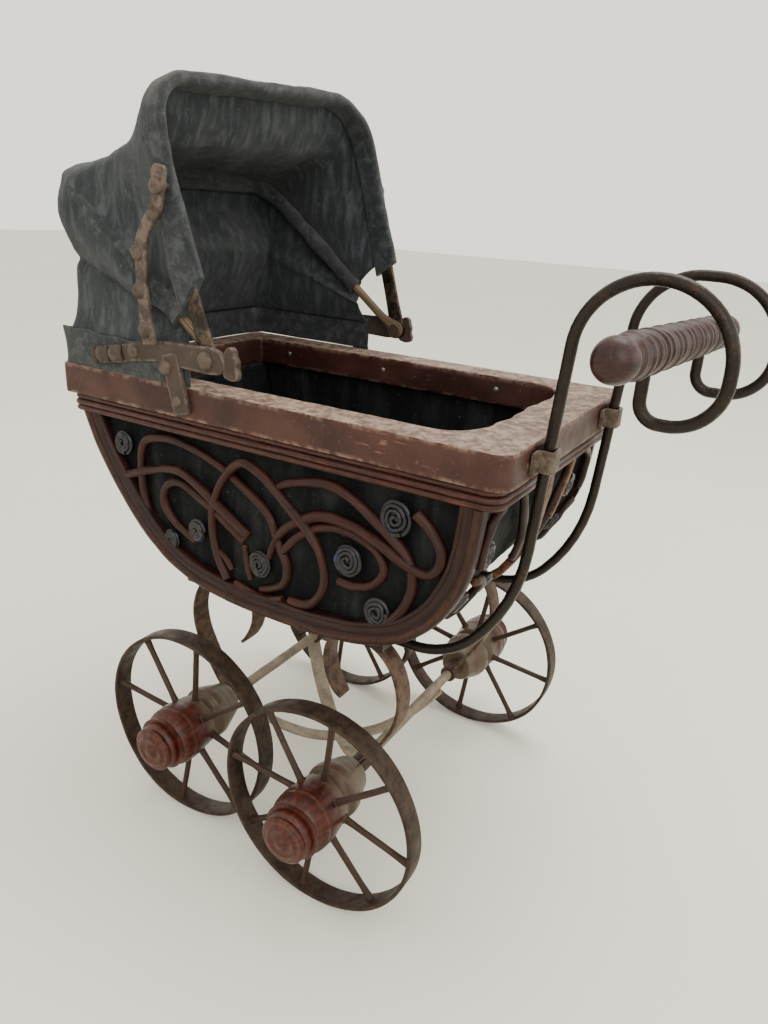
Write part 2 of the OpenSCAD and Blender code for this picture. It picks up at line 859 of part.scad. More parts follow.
// cloth between skirt and middle bow: back sheet and two side gores
module hood_cover_rear() {
    back = smooth([[-138.5, 288], [-130, 294], [-125, 312], [-121, 328], [-126, 337], [-133, 347],
        [-137.5, 356]], 3);
    gore = [[-52, 289], [-138, 289], [-130, 295], [-125, 312], [-121, 328], [-126, 337], [-130, 344],
        [-124, 352]];
    color([0.06, 0.065, 0.07])
        placed() {
            along_y(-80.4, 160.8)
                strip_profile(back, cloth_t);
            for (s = [-1, 1])
                along_y((s < 0) ? -81.6 : 80.2, cloth_t)
                    polygon(gore);
        }
}

// cloth between the middle and front bows: top sheet and two side gores
module hood_cover_front() {
    top = smooth([[-131, 373], [-118, 374.5], [-100, 377], [-86, 384.5], [-79, 395], [-74, 409]], 3);
    gore = [[-58.5, 322], [-47, 324], [-53, 342], [-61, 365], [-68, 388], [-73.5, 407], [-79, 394],
        [-86, 383.5], [-100, 376.5], [-114, 373.5], [-116, 365], [-100, 352.5]];
    color([0.06, 0.065, 0.07])
        placed() {
            along_y(-76, 152)
                strip_profile(top, cloth_t);
            for (s = [-1, 1])
                along_y((s < 0) ? -77.4 : 76, cloth_t)
                    polygon(gore);
        }
}

// cranked flat stay beside each front bow leg
stay_top = [-50.5, 361.2];

module stay() {
    curve = smooth([[-48.8, 371], [-50.5, 361.2], [-54, 352], [-62.5, 342], [-66, 332], [-66.5, 316],
        [-65, 300], [-63.5, 287]], 3);
    placed()
        difference() {
            union() {
                along_y(-93.6, 3)
                    strip_profile(curve, 7);
                for (q = [stay_top, [-67.6, 331], [-67.8, 313], [-65.6, 294]])
                    translate([q[0], -90.6, q[1]])
                        rotate([90, 0, 0])
                            cylinder(h = 3, r = 5, $fn = 32);
            }
            translate([stay_top[0], -80, stay_top[1]])
                rotate([90, 0, 0])
                    cylinder(h = 30, r = 2 + running, $fn = 32);
        }
}

module stay_near() {
    color([0.4, 0.32, 0.26])
        stay();
}

module stay_far() {
    color([0.4, 0.32, 0.26])
        mirror([0, 1, 0])
            stay();
}

// dome rivets that double each stay's lower half
module stay_rivets_near() {
    color([0.42, 0.34, 0.28])
        placed()
            for (q = [[-67.6, 331], [-67.8, 313], [-65.6, 294]])
                translate([q[0], -93.6, q[1]])
                    rotate([90, 0, 0])
                        dome(3.7, 2.3);
}

module stay_rivets_far() {
    color([0.42, 0.34, 0.28])
        mirror([0, 1, 0])
            placed()
                for (q = [[-67.6, 331], [-67.8, 313], [-65.6, 294]])
                    translate([q[0], -93.6, q[1]])
                        rotate([90, 0, 0])
                            dome(3.7, 2.3);
}

// headed pins that carry the stays on the front bow
module stay_pins() {
    color([0.42, 0.34, 0.28])
        placed()
            both_sides()
                translate([stay_top[0], -bow_y, stay_top[1]])
                    rotate([90, 0, 0]) {
                        cylinder(h = 94 - bow_y, r = 2, $fn = 32);
                        translate([0, 0, 94 - bow_y])
                            dome(3.9, 2.3);
                    }
}

rim_boards();
rim_molding();
side_frame_near();
side_frame_far();
scrolls_near();
scrolls_far();
end_scrolls_handle();
end_scrolls_hood();
coils_near();
coils_far();
coils_ends();
tub_lining();
base_board();
rim_nails();
handle_clips();
clip_screws();
handle_rod_near();
handle_rod_far();
handle_grip();
spring_hood_near();
spring_hood_far();
spring_handle_near();
spring_handle_far();
spring_bolts();
axle_hood();
axle_handle();
brace_a();
brace_b();
wheel_hn_band();
wheel_hn_spokes();
wheel_hn_hub();
wheel_hn_cap();
wheel_hf_band();
wheel_hf_spokes();
wheel_hf_hub();
wheel_hf_cap();
wheel_gn_band();
wheel_gn_spokes();
wheel_gn_hub();
wheel_gn_cap();
wheel_gf_band();
wheel_gf_spokes();
wheel_gf_hub();
wheel_gf_cap();
hood_plate_near();
hood_plate_far();
hood_rivets();
hood_skirt();
bow_bolts();
hood_cover_rear();
bow_mid();
bow_mid_sleeve();
bow_front();
bow_front_hem();
hood_cover_front();
stay_pins();
stay_near();
stay_far();
stay_rivets_near();
stay_rivets_far();
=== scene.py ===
import math

import bmesh
import bpy
import numpy as np
from mathutils import Matrix, Vector


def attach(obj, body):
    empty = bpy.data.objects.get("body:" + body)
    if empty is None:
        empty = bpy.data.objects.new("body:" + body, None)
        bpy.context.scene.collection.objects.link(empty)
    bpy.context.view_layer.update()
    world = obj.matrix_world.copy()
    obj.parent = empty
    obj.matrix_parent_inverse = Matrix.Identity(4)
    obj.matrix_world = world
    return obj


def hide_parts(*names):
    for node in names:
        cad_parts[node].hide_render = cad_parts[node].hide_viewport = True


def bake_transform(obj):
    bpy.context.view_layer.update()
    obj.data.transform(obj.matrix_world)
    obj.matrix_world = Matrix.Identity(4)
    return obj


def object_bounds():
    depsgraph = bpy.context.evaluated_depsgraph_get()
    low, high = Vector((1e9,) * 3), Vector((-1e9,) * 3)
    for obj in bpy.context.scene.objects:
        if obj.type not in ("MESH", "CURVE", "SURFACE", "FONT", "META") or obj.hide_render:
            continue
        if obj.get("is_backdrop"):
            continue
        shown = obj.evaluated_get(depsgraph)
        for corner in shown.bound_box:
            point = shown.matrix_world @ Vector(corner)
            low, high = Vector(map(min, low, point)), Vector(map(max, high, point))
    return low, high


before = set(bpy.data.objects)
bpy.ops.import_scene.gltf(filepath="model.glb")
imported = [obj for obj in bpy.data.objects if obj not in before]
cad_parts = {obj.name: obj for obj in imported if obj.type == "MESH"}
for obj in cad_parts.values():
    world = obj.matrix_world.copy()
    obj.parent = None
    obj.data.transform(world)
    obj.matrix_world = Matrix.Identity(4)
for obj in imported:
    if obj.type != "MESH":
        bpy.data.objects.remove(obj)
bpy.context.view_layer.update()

MM = 0.001
X_SHIFT = -34.8  # wheelbase centre to the frame's origin, in mm
SIDES = (("near", -1), ("far", 1))

# ---- numbers of the object, in mm
WHEEL_R, BAND_W, BAND_T = 60.0, 12.4, 2.2
HUB_HALF, HUB_R = 32.0, 17.5
AXLE_X = 52.0
TRACK = {-1: 172.8, 1: 198.4}
RIM_X0, RIM_X1, RIM_Y = -141.0, 131.0, 85.5
BOARD_Z, RIM_Z = 250.1, 267.0
BOARD_W, BOARD_END_W = 20.0, 27.0
ROD_Y, ROD_R = 51.0, 2.8
PIVOT_X, PIVOT_Z = -26.0, 283.0
RACK = 5.0 / 88  # the hood leans out of square: x per mm of y
FRONT_LEAN, MID_LEAN = math.radians(16), math.radians(52)
FRONT_LEN, MID_LEN = 136.0, 135.0
BOW_Y, MID_Y, MID_FOOT_Y = 85.1, 79.7, 81.2
SKIRT_FOOT = 267.4

BOAT = [(-130, 240), (-122, 222), (-112, 206), (-100, 190), (-88, 177), (-77, 168), (-66, 161),
        (-49, 154.5), (-30, 151), (-10, 149.5), (23, 149.5), (45, 151), (65, 154.5), (86, 163),
        (102, 177), (112, 193), (117, 207), (120, 226), (121, 240)]
TUB = [(-123, 250), (-118, 223), (-108, 207), (-96, 191), (-84, 178), (-73, 169), (-62, 163),
       (-47, 158), (-30, 154.8), (-10, 153.6), (23, 153.6), (45, 155.2), (63, 158.8), (82, 167),
       (97, 180.5), (107, 196), (112, 209), (115, 227), (116, 250)]
SCROLLS = [
    [(-113, 216), (-103, 207), (-85, 213), (-62, 218), (-44, 212), (-11, 193)],
    [(-84, 183), (-89, 204), (-87, 228), (-71, 234), (-54, 233), (-32, 227), (-11, 216), (2, 207),
     (8, 194), (14, 182), (11, 170), (-4, 163)],
    [(-14, 189), (-44, 205), (-60, 211), (-70, 207), (-72, 197), (-64, 186), (-49, 179)],
    [(-25, 164), (-33, 180), (-35, 202), (-27, 221), (-14, 233), (-1, 229), (14, 218), (27, 208),
     (36, 196), (39, 180), (31, 166), (17, 164)],
    [(5, 222), (18, 229), (36, 233), (49, 231), (63, 224), (76, 215), (86, 205), (88, 193),
     (84, 180), (77, 171)],
    [(9, 198), (19, 208), (36, 216), (53, 216), (69, 211), (84, 204), (95, 202), (101, 207),
     (102, 215), (97, 223), (88, 231)],
    [(12, 190), (23, 202), (38, 210), (53, 211), (66, 206), (72, 197), (67, 188), (57, 184),
     (47, 184)]]
OFFCUTS = [  # short rods bound beside the long ones
    [(-20, 163), (-8, 160.5), (3, 160), (12, 163)], [(-34, 180), (-27, 176), (-22, 170)],
    [(-13, 187), (-11, 176), (-9, 168)], [(9, 199), (5, 190), (3, 184)]]
COILS = [(-101, 226, 6.6), (-47, 186.5, 6.2), (-67, 175.5, 6), (-3, 178.5, 7.2), (52, 196.5, 8),
         (77, 225, 8.6), (70, 173.5, 7.6)]
END_LINES = [
    [(-58, 236), (-68, 232), (-72, 222), (-71, 208)], [(-70, 200), (-58, 196), (-54, 184), (-60, 172)],
    [(58, 236), (68, 232), (72, 222), (71, 208)], [(70, 200), (58, 196), (54, 184), (60, 172)],
    [(36, 236), (22, 212), (12, 190)], [(-36, 236), (-22, 212), (-12, 190)]]
END_COILS = [(1, -63, 212, 7), (1, -62, 184, 6.4), (1, 47, 217, 7), (1, 55, 190, 6.4), (1, -30, 182, 6),
             (-1, -60, 213, 7), (-1, 60, 213, 7), (-1, -40, 186, 6.4), (-1, 40, 186, 6.4)]
SPRING = [(54.5, 64.6), (61, 73), (69, 86), (75.5, 99), (78, 111), (77, 122), (72.5, 133), (65, 141),
          (56, 145.3), (46.5, 146.1), (38.5, 143.4), (32.5, 137), (30.5, 128), (32, 118), (36.5, 109),
          (41, 104)]


GRAIN_STEP, NOISE_STEP = 7.7, 31.0  # how far one seed shifts the grain, and the noise, in mm

# ---- small maths
def smooth(points, n):
    """Catmull-Rom curve through the points, n pieces per span."""
    p = np.array(points, float)
    out = []
    for i in range(len(p) - 1):
        a, b, c, d = p[max(i - 1, 0)], p[i], p[i + 1], p[min(i + 2, len(p) - 1)]
        for k in range(n):
            t = k / n
            out.append(0.5 * (2 * b + (c - a) * t + (2 * a - 5 * b + 4 * c - d) * t * t
                              + (3 * b - a - 3 * c + d) * t ** 3))
    out.append(p[-1])
    return np.array(out)


def lattice(i, j, k, seed):
    h = (i.astype(np.int64) * 374761393 + j.astype(np.int64) * 668265263
         + k.astype(np.int64) * 1274126177 + seed * 974634777) & 0xFFFFFFFF
    h = ((h ^ (h >> 13)) * 1103515245) & 0xFFFFFFFF
    h = ((h ^ (h >> 16)) * 2246822519) & 0xFFFFFFFF
    return ((h ^ (h >> 15)) & 0xFFFF) / 32767.5 - 1.0


def wave(p, size, seed=0, octaves=2):
    """Smooth value noise from -1 to 1 at the points p, with features of about size."""
    p = np.asarray(p, float).reshape(-1, 3)
    total, gain = np.zeros(len(p)), 1.0
    for o in range(octaves):
        q = p / size * 2 ** o + 17.3 * (seed + o)
        base = np.floor(q)
        f = q - base
        f = f * f * (3 - 2 * f)
        i, j, k = base[:, 0], base[:, 1], base[:, 2]
        value = np.zeros(len(p))
        for a in (0, 1):
            for b in (0, 1):
                for c in (0, 1):
                    weight = ((f[:, 0] if a else 1 - f[:, 0]) * (f[:, 1] if b else 1 - f[:, 1])
                              * (f[:, 2] if c else 1 - f[:, 2]))
                    value += weight * lattice(i + a, j + b, k + c, seed + o)
        total += gain * value
        gain *= 0.5
    return total


def unit(v):
    return v / np.maximum(np.linalg.norm(v, axis=-1, keepdims=True), 1e-9)


def frames(path, up=None, closed=False):
    """Side and normal directions along a path. The side stays near up, or is carried along without it."""
    if closed:
        tangent = unit(np.roll(path, -1, 0) - np.roll(path, 1, 0))
    else:
        tangent = unit(np.gradient(path, axis=0))
    if up is not None:
        up = np.broadcast_to(np.array(up, float), path.shape)
        side = unit(up - (up * tangent).sum(1)[:, None] * tangent)
    else:
        side = np.zeros_like(path)
        last = np.array([0.0, 1.0, 0.0]) if abs(tangent[0][1]) < 0.9 else np.array([1.0, 0, 0])
        for i, t in enumerate(tangent):
            last = last - (last @ t) * t
            last = last / np.linalg.norm(last)
            side[i] = last
    return side, np.cross(tangent, side)


def circle(r, n=12):
    return [(r * math.cos(2 * math.pi * i / n), r * math.sin(2 * math.pi * i / n)) for i in range(n)]


def rounded(w, h, r, n=3):
    """Closed rectangle section w by h with rounded corners, as (side, normal, wear)."""
    out = []
    for cx, cy, a0 in ((w / 2 - r, h / 2 - r, 0), (-w / 2 + r, h / 2 - r, 90),
                       (-w / 2 + r, -h / 2 + r, 180), (w / 2 - r, -h / 2 + r, 270)):
        for i in range(n + 1):
            a = math.radians(a0 + 90 * i / n)
            out.append((cx + r * math.cos(a), cy + r * math.sin(a), 1.0))
    return out


def padded(points):
    """Points as (a, b, wear), with no wear where none is given."""
    return [tuple(q) + (0.0,) * (3 - len(q)) for q in points]


def moved(points, d):
    """Profile points (radius, distance, wear) with the distance moved by d."""
    return [(q[0], q[1] + d) + tuple(q[2:]) for q in points]


def running(steps):
    return np.concatenate([[0], np.cumsum(steps)])


def spans(path):
    return np.linalg.norm(np.diff(path, axis=0), axis=1)


def quads(n, m, closed=False):
    """Faces between n rows of m points: each row is a loop, and the rows are one too where closed."""
    return [(i * m + j, i * m + (j + 1) % m, (i + 1) % n * m + (j + 1) % m, (i + 1) % n * m + j)
            for i in range(n if closed else n - 1) for j in range(m)]


def outward(p):
    """Unit directions out of a closed anticlockwise outline."""
    t = unit(np.roll(p, -1, 0) - np.roll(p, 1, 0))
    return np.stack([t[:, 1], -t[:, 0]], 1)


class Shape:
    """Collects faces, with a grain coordinate (along, across, seed) and wear for each vertex."""

    def __init__(self):
        self.v, self.f, self.g, self.w, self.n = [], [], [], [], 0

    def add(self, verts, faces, grain=None, wear=None):
        verts = np.asarray(verts, float).reshape(-1, 3)
        self.v.append(verts)
        self.g.append(np.asarray(grain, float).reshape(-1, 3) if grain is not None else verts * 1.0)
        self.w.append(np.asarray(wear, float).ravel() if wear is not None else np.zeros(len(verts)))
        self.f.extend([tuple(i + self.n for i in f) for f in faces])
        self.n += len(verts)

    def sweep(self, path, section, up=None, closed=False, scale=None, seed=0, rough=0.0, rough_size=6.0):
        """Section of (side, normal, wear) points drawn along a path, capped where it is open."""
        path = np.asarray(path, float)
        section = padded(section)
        n, m = len(path), len(section)
        side, normal = frames(path, up, closed)
        sc = np.ones((n, 2)) if scale is None else np.asarray(scale, float)
        if sc.ndim == 1:
            sc = np.stack([sc, sc], 1)
        a = np.array([q[0] for q in section])
        b = np.array([q[1] for q in section])
        verts = (path[:, None, :] + side[:, None, :] * (a[None, :] * sc[:, :1])[:, :, None]
                 + normal[:, None, :] * (b[None, :] * sc[:, 1:])[:, :, None])
        around = running(np.hypot(np.diff(a), np.diff(b)))
        grain = np.zeros((n, m, 3))
        grain[:, :, 0], grain[:, :, 1] = running(spans(path))[:, None], around[None, :]
        grain[:, :, 2] = seed * GRAIN_STEP
        wear = np.tile([q[2] for q in section], (n, 1))
        if rough:
            out = unit(verts - path[:, None, :])
            shift = wave(verts + seed * NOISE_STEP, rough_size, seed, 3).reshape(n, m)
            verts = verts + out * (shift * rough)[:, :, None]
        faces = quads(n, m, closed)
        if not closed:
            faces += [tuple(range(m - 1, -1, -1)), tuple((n - 1) * m + j for j in range(m))]
        self.add(verts, faces, grain, wear)

    def lathe(self, profile, centre, axis=(0, 1, 0), n=48, seed=0, rough=0.0, hole=False):
        """Turns (radius, distance, wear) about the axis through centre."""
        axis = unit(np.array(axis, float))
        x = unit(np.cross(axis, [0.3, 0.9, 0.2] if abs(axis[0]) > 0.7 else [1.0, 0.1, 0.2]))
        y = np.cross(axis, x)
        p = padded(profile)
        m = len(p)
        angle = np.arange(n) / n * 2 * np.pi
        radial = np.cos(angle)[:, None] * x + np.sin(angle)[:, None] * y
        r = np.array([q[0] for q in p])
        d = np.array([q[1] for q in p])
        centre = np.array(centre, float)
        verts = centre + radial[:, None, :] * r[None, :, None] + axis * d[None, :, None]
        if rough:
            shift = wave(verts + seed * NOISE_STEP, 7.0, seed, 3).reshape(n, m)
            verts = verts + radial[:, None, :] * (shift * rough)[:, :, None]
        grain = np.zeros((n, m, 3))
        grain[:, :, 0], grain[:, :, 1], grain[:, :, 2] = d[None, :], angle[:, None] * 12, seed * GRAIN_STEP
        wear = np.tile([q[2] for q in p], (n, 1))
        faces = [(i * m + j, ((i + 1) % n) * m + j, ((i + 1) % n) * m + j + 1, i * m + j + 1)
                 for i in range(n) for j in range(m - 1)]
        if hole:
            faces += [(i * m + m - 1, ((i + 1) % n) * m + m - 1, ((i + 1) % n) * m, i * m) for i in range(n)]
        self.add(verts, faces, grain, wear)

    def dome(self, centre, axis, r, h, seed=0, lump=0.0):
        """A rivet or screw head on a surface, a little uneven."""
        steps = [(r * math.cos(a), h * math.sin(a)) for a in np.linspace(0, math.pi / 2, 7)]
        steps = [(r, -0.5), (r * 1.02, 0.1)] + steps[1:-1] + [(0.02, h)]
        self.lathe([(q[0], q[1], 0.6) for q in steps], centre, axis, 20, seed, lump)

    def plate(self, outline, y, thick, seed, rough):
        """Flat plate in the X-Z plane from y towards its outer face, rings of points with soft edges."""
        outline = np.asarray(outline, float)
        if signed_area(outline) < 0:
            outline = outline[::-1]
        sign = 1 if thick > 0 else -1
        t, e = abs(thick), min(0.5, abs(thick) * 0.3)
        rings = [(0.0, 0.0), (0.0, t - e), (e * 0.35, t - e * 0.3), (e, t), (e + 1.1, t)]
        verts, wear = [], []
        for inset, depth in rings:
            p = outline - inset * outward(outline)
            verts.append(np.stack([p[:, 0], np.full(len(p), y + sign * depth), p[:, 1]], 1))
            wear.append(np.full(len(p), 0.0 if inset > e + 0.5 or depth == 0 else 1.0))
        m = len(outline)
        verts = np.concatenate(verts)
        verts[:, 1] += sign * rough * wave(verts, 5.0, seed, 2) * (verts[:, 1] != y)
        faces = quads(len(rings), m)
        faces += [tuple((len(rings) - 1) * m + j for j in range(m)), tuple(range(m - 1, -1, -1))]
        self.add(verts, faces, None, np.concatenate(wear))


def signed_area(p):
    x, y = p[:, 0], p[:, 1]
    return 0.5 * float((x * np.roll(y, -1) - np.roll(x, -1) * y).sum())


def fillet(points, r=2.0, n=4):
    """Closed polygon with its corners rounded."""
    p = np.array(points, float)
    out = []
    for i in range(len(p)):
        a, b, c = p[i - 1], p[i], p[(i + 1) % len(p)]
        rr = min(r, 0.45 * np.linalg.norm(a - b), 0.45 * np.linalg.norm(c - b))
        s, e = b + unit(a - b) * rr, b + unit(c - b) * rr
        for t in np.linspace(0, 1, n):
            out.append((1 - t) ** 2 * s + 2 * t * (1 - t) * b + t * t * e)
    return np.array(out)


# ---- materials
def srgb(r, g, b):
    def lin(c):
        c /= 255.0
        return c / 12.92 if c <= 0.04045 else ((c + 0.055) / 1.055) ** 2.4
    return (lin(r), lin(g), lin(b), 1.0)


def scaled(color, k):
    """Linear colour k times as bright."""
    return tuple(c * k for c in srgb(*color)[:3]) + (1.0,)


class Paint:
    """Builds one procedural material."""

    def __init__(self, name, metallic=0.0, sheen=0.0, coat=0.0, coat_rough=0.3, specular=0.2):
        self.mat = bpy.data.materials.new(name)
        self.mat.use_nodes = True
        self.nt = self.mat.node_tree
        self.nt.nodes.clear()
        out = self.nt.nodes.new("ShaderNodeOutputMaterial")
        self.p = self.nt.nodes.new("ShaderNodeBsdfPrincipled")
        self.nt.links.new(self.p.outputs[0], out.inputs[0])
        self.p.inputs["Metallic"].default_value = metallic
        self.p.inputs["Sheen Weight"].default_value = sheen
        self.p.inputs["Sheen Roughness"].default_value = 0.5
        self.p.inputs["Coat Weight"].default_value = coat
        self.p.inputs["Coat Roughness"].default_value = coat_rough
        self.p.inputs["Specular IOR Level"].default_value = specular
        self.coord = self.nt.nodes.new("ShaderNodeTexCoord").outputs["Object"]

    def put(self, socket, value):
        """Links or sets an input; three numbers are an sRGB colour from 0 to 255."""
        if isinstance(value, tuple) and len(value) == 3:
            value = srgb(*value)
        if isinstance(value, bpy.types.NodeSocket):
            self.nt.links.new(value, socket)
        else:
            socket.default_value = value

    def settings(self, node, **values):
        for key, v in values.items():
            node.inputs[key].default_value = v
        return node.outputs["Fac"]

    def noise(self, scale, detail=4.0, rough=0.55, vector=None, distortion=0.0):
        n = self.nt.nodes.new("ShaderNodeTexNoise")
        self.put(n.inputs["Vector"], vector or self.coord)
        return self.settings(n, Scale=scale, Detail=detail, Roughness=rough, Distortion=distortion)

    def wave(self, scale, vector, distortion, direction):
        n = self.nt.nodes.new("ShaderNodeTexWave")
        n.bands_direction = direction
        self.put(n.inputs["Vector"], vector)
        n.inputs["Detail Scale"].default_value = 1.5
        return self.settings(n, Scale=scale, Distortion=distortion, Detail=2.0)

    def math(self, op, a, b=0.0, clamp=False):
        n = self.nt.nodes.new("ShaderNodeMath")
        n.operation, n.use_clamp = op, clamp
        self.put(n.inputs[0], a)
        self.put(n.inputs[1], b)
        return n.outputs[0]

    def band(self, value, low, high, to_low=0.0, to_high=1.0):
        n = self.nt.nodes.new("ShaderNodeMapRange")
        n.interpolation_type = "SMOOTHSTEP"
        for i, v in enumerate((value, low, high, to_low, to_high)):
            self.put(n.inputs[i], v)
        return n.outputs[0]

    def mul(self, a, b):
        return self.math("MULTIPLY", a, b)

    def mix(self, fac, a, b):
        n = self.nt.nodes.new("ShaderNodeMix")
        n.data_type, n.blend_type = "RGBA", "MIX"
        self.put(n.inputs[0], fac)
        self.put(n.inputs[6], a)
        self.put(n.inputs[7], b)
        return n.outputs[2]

    def lay(self, mask, amount, under, over):
        """Lays one colour over another where the mask is, as strongly as amount."""
        return self.mix(self.mul(mask, amount), under, over)

    def attr(self, name, output="Fac"):
        n = self.nt.nodes.new("ShaderNodeAttribute")
        n.attribute_name = name
        return n.outputs[output]

    def stretch(self, x, y, z, vector=None):
        n = self.nt.nodes.new("ShaderNodeVectorMath")
        n.operation = "MULTIPLY"
        self.put(n.inputs[0], vector or self.attr("grain", "Vector"))
        n.inputs[1].default_value = (x, y, z)
        return n.outputs[0]

    def up(self):
        """How far the surface faces up, -1 to 1, from the true normal."""
        g = self.nt.nodes.new("ShaderNodeNewGeometry")
        s = self.nt.nodes.new("ShaderNodeSeparateXYZ")
        self.nt.links.new(g.outputs["Normal"], s.inputs[0])
        return s.outputs[2]

    def bump(self, height, distance, strength=1.0, normal=None):
        n = self.nt.nodes.new("ShaderNodeBump")
        n.inputs["Strength"].default_value = strength
        n.inputs["Distance"].default_value = distance
        self.put(n.inputs["Height"], height)
        if normal is not None:
            self.put(n.inputs["Normal"], normal)
        return n.outputs[0]

    def done(self, color, rough, normal=None, depth=1.22):
        g = self.nt.nodes.new("ShaderNodeGamma")
        self.put(g.inputs[0], color)
        g.inputs[1].default_value = depth
        self.put(self.p.inputs["Base Color"], g.outputs[0])
        self.put(self.p.inputs["Roughness"], rough)
        if normal is not None:
            self.put(self.p.inputs["Normal"], normal)
        return self.mat


def dusty(p, color, dust, amount=1.0, low=0.35, high=0.95, scale=60.0):
    """Lays dust over what faces up, broken by noise."""
    top = p.band(p.up(), low, high)
    patch = p.band(p.noise(scale, 5, 0.65), 0.32, 0.72)
    return p.mix(p.math("MULTIPLY", p.mul(top, patch), amount, True), color, dust)


def make_cane(name, dark, mid, light, dust_amount, coat):
    p = Paint(name, coat=coat, coat_rough=0.35)
    streak = p.noise(1.0, 6, 0.65, p.stretch(0.045, 1.1, 1.0))
    fine = p.noise(1.0, 4, 0.7, p.stretch(0.09, 3.4, 1.0))
    patch = p.noise(55, 4, 0.6)
    color = p.mix(p.band(streak, 0.34, 0.62), dark, mid)
    color = p.lay(p.band(patch, 0.52, 0.74), p.band(streak, 0.4, 0.7), color, light)
    color = p.lay(p.band(fine, 0.54, 0.72), 0.55, color, (60, 38, 30))
    crack = p.band(p.noise(1.0, 3, 0.5, p.stretch(0.03, 2.0, 1.3)), 0.61, 0.66)
    color = p.lay(crack, 0.7, color, (38, 25, 20))
    chip = p.mul(p.band(p.noise(210, 4, 0.7), 0.66, 0.71), p.band(patch, 0.5, 0.6))
    color = p.lay(chip, 0.5, color, (140, 98, 72))
    color = p.lay(p.attr("wear"), p.band(p.noise(300, 3), 0.3, 0.6, 0.0, 0.6), color, (158, 122, 90))
    color = dusty(p, color, (124, 106, 94), dust_amount, 0.35, 1.0, 110)
    rough = p.band(p.noise(90, 4, 0.6), 0.3, 0.7, 0.26, 0.5)
    height = p.math("SUBTRACT", p.mul(fine, 0.6), crack)
    return p.done(color, rough, p.bump(height, 0.0006, 0.7), 1.55)


def make_board():
    p = Paint("board_paint", coat=0.04, coat_rough=0.4, specular=0.22)
    cloud = p.noise(24, 5, 0.6)
    color = p.mix(p.band(cloud, 0.35, 0.65), (66, 42, 38), (88, 59, 53))
    speck = p.band(p.noise(420, 3, 0.75), 0.62, 0.70)
    patch = p.band(p.noise(16, 4, 0.6), 0.42, 0.62)
    color = p.lay(p.mul(speck, patch), 0.45, color, (150, 128, 114))
    scratch = p.band(p.noise(1.0, 3, 0.6, p.stretch(28, 260, 200, p.coord), 0.6), 0.69, 0.72)
    color = p.lay(scratch, 0.5, color, (150, 112, 98))
    edge = p.mul(p.attr("wear"), p.band(p.noise(130, 5, 0.7), 0.42, 0.6))
    color = p.lay(edge, 0.5, color, (164, 142, 126))
    top = p.band(p.up(), 0.55, 0.95)
    grime = p.band(p.noise(200, 6, 0.72), 0.38, 0.62)
    dust = p.mix(grime, (120, 100, 91), (170, 154, 141))
    bare = p.band(p.noise(34, 5, 0.65), 0.60, 0.72)
    dust = p.lay(bare, 0.65, dust, (98, 68, 60))
    color = p.lay(top, 0.85, color, dust)
    rough = p.mix(top, p.band(p.noise(70, 4), 0.3, 0.7, 0.36, 0.55), (225, 225, 225))
    fine = p.math("ADD", p.noise(500, 4, 0.7), p.mul(p.noise(60, 3), 1.5))
    return p.done(color, rough, p.bump(fine, 0.0005, 0.45), 1.26)


def make_iron(name, base, worn, dust, metallic, rough=(0.42, 0.7), dust_amount=0.3):
    p = Paint(name, metallic=metallic, specular=0.25)
    cloud = p.noise(60, 5, 0.65)
    color = p.mix(p.band(cloud, 0.36, 0.64), base, scaled(base, 1.3))
    rust = p.band(p.noise(150, 5, 0.7), 0.56, 0.66)
    color = p.lay(rust, 0.3, color, (92, 58, 42))
    speck = p.band(p.noise(600, 2, 0.6), 0.66, 0.72)
    color = p.lay(speck, 0.25, color, dust)
    edge = p.mul(p.attr("wear"), p.band(p.noise(170, 4, 0.7), 0.40, 0.60))
    color = p.lay(edge, 0.4, color, worn)
    color = dusty(p, color, dust, dust_amount, 0.2, 0.95, 80)
    r = p.band(p.noise(110, 4, 0.6), 0.3, 0.7, rough[0], rough[1])
    height = p.math("ADD", p.mul(cloud, 1.6), p.noise(420, 4, 0.7))
    return p.done(color, r, p.bump(height, 0.0006, 0.6), 1.1)


def make_cloth(name, base, light, sheen_streak_amount=0.35, streak_dir=(90, 90, 16), dust=0.5, sheen=0.25):
    """Plain-woven black cotton with painted sheen in long light streaks, with dust on what faces up and lint.
    """
    p = Paint(name, sheen=sheen, specular=0.12)
    g = p.attr("grain", "Vector")
    warp = p.wave(0.62, g, 0.35, "X")
    weft = p.wave(0.62, g, 0.35, "Y")
    check = p.wave(0.31, g, 0.0, "DIAGONAL")
    weave = p.math("ADD", p.mul(warp, p.band(check, 0.2, 0.8, 0.5, 1.0)),
                   p.mul(weft, p.band(check, 0.2, 0.8, 1.0, 0.5)))
    slub = p.noise(1.0, 3, 0.6, p.stretch(0.35, 2.6, 1.0))
    slub2 = p.noise(1.0, 3, 0.6, p.stretch(2.6, 0.35, 1.0))
    # painted sheen: long light streaks laid over the weave, standing in for highlights on the cloth
    painted_sheen_streak = p.noise(1.0, 5, 0.62, p.stretch(*streak_dir, p.coord), 0.4)
    color = p.mix(p.band(weave, 0.3, 1.5), scaled(base, 0.62), base)
    color = p.lay(p.band(painted_sheen_streak, 0.42, 0.72), sheen_streak_amount, color, light)
    threads = p.math("MAXIMUM", p.band(slub, 0.58, 0.76), p.band(slub2, 0.60, 0.78))
    color = p.lay(threads, 0.35, color, light)
    lint = p.band(p.noise(900, 2, 0.5, None, 1.5), 0.70, 0.75)
    color = p.lay(lint, 0.5, color, (150, 142, 130))
    color = dusty(p, color, (112, 106, 98), dust, 0.15, 1.0, 60)
    height = p.math("ADD", weave,
                    p.mul(p.math("ADD", slub, slub2), 0.7))
    normal = p.bump(height, 0.00035, 0.55)
    normal = p.bump(p.noise(120, 4, 0.6), 0.0012, 0.35, normal)
    return p.done(color, p.band(p.noise(140, 3), 0.3, 0.7, 0.72, 0.92), normal, 1.0)


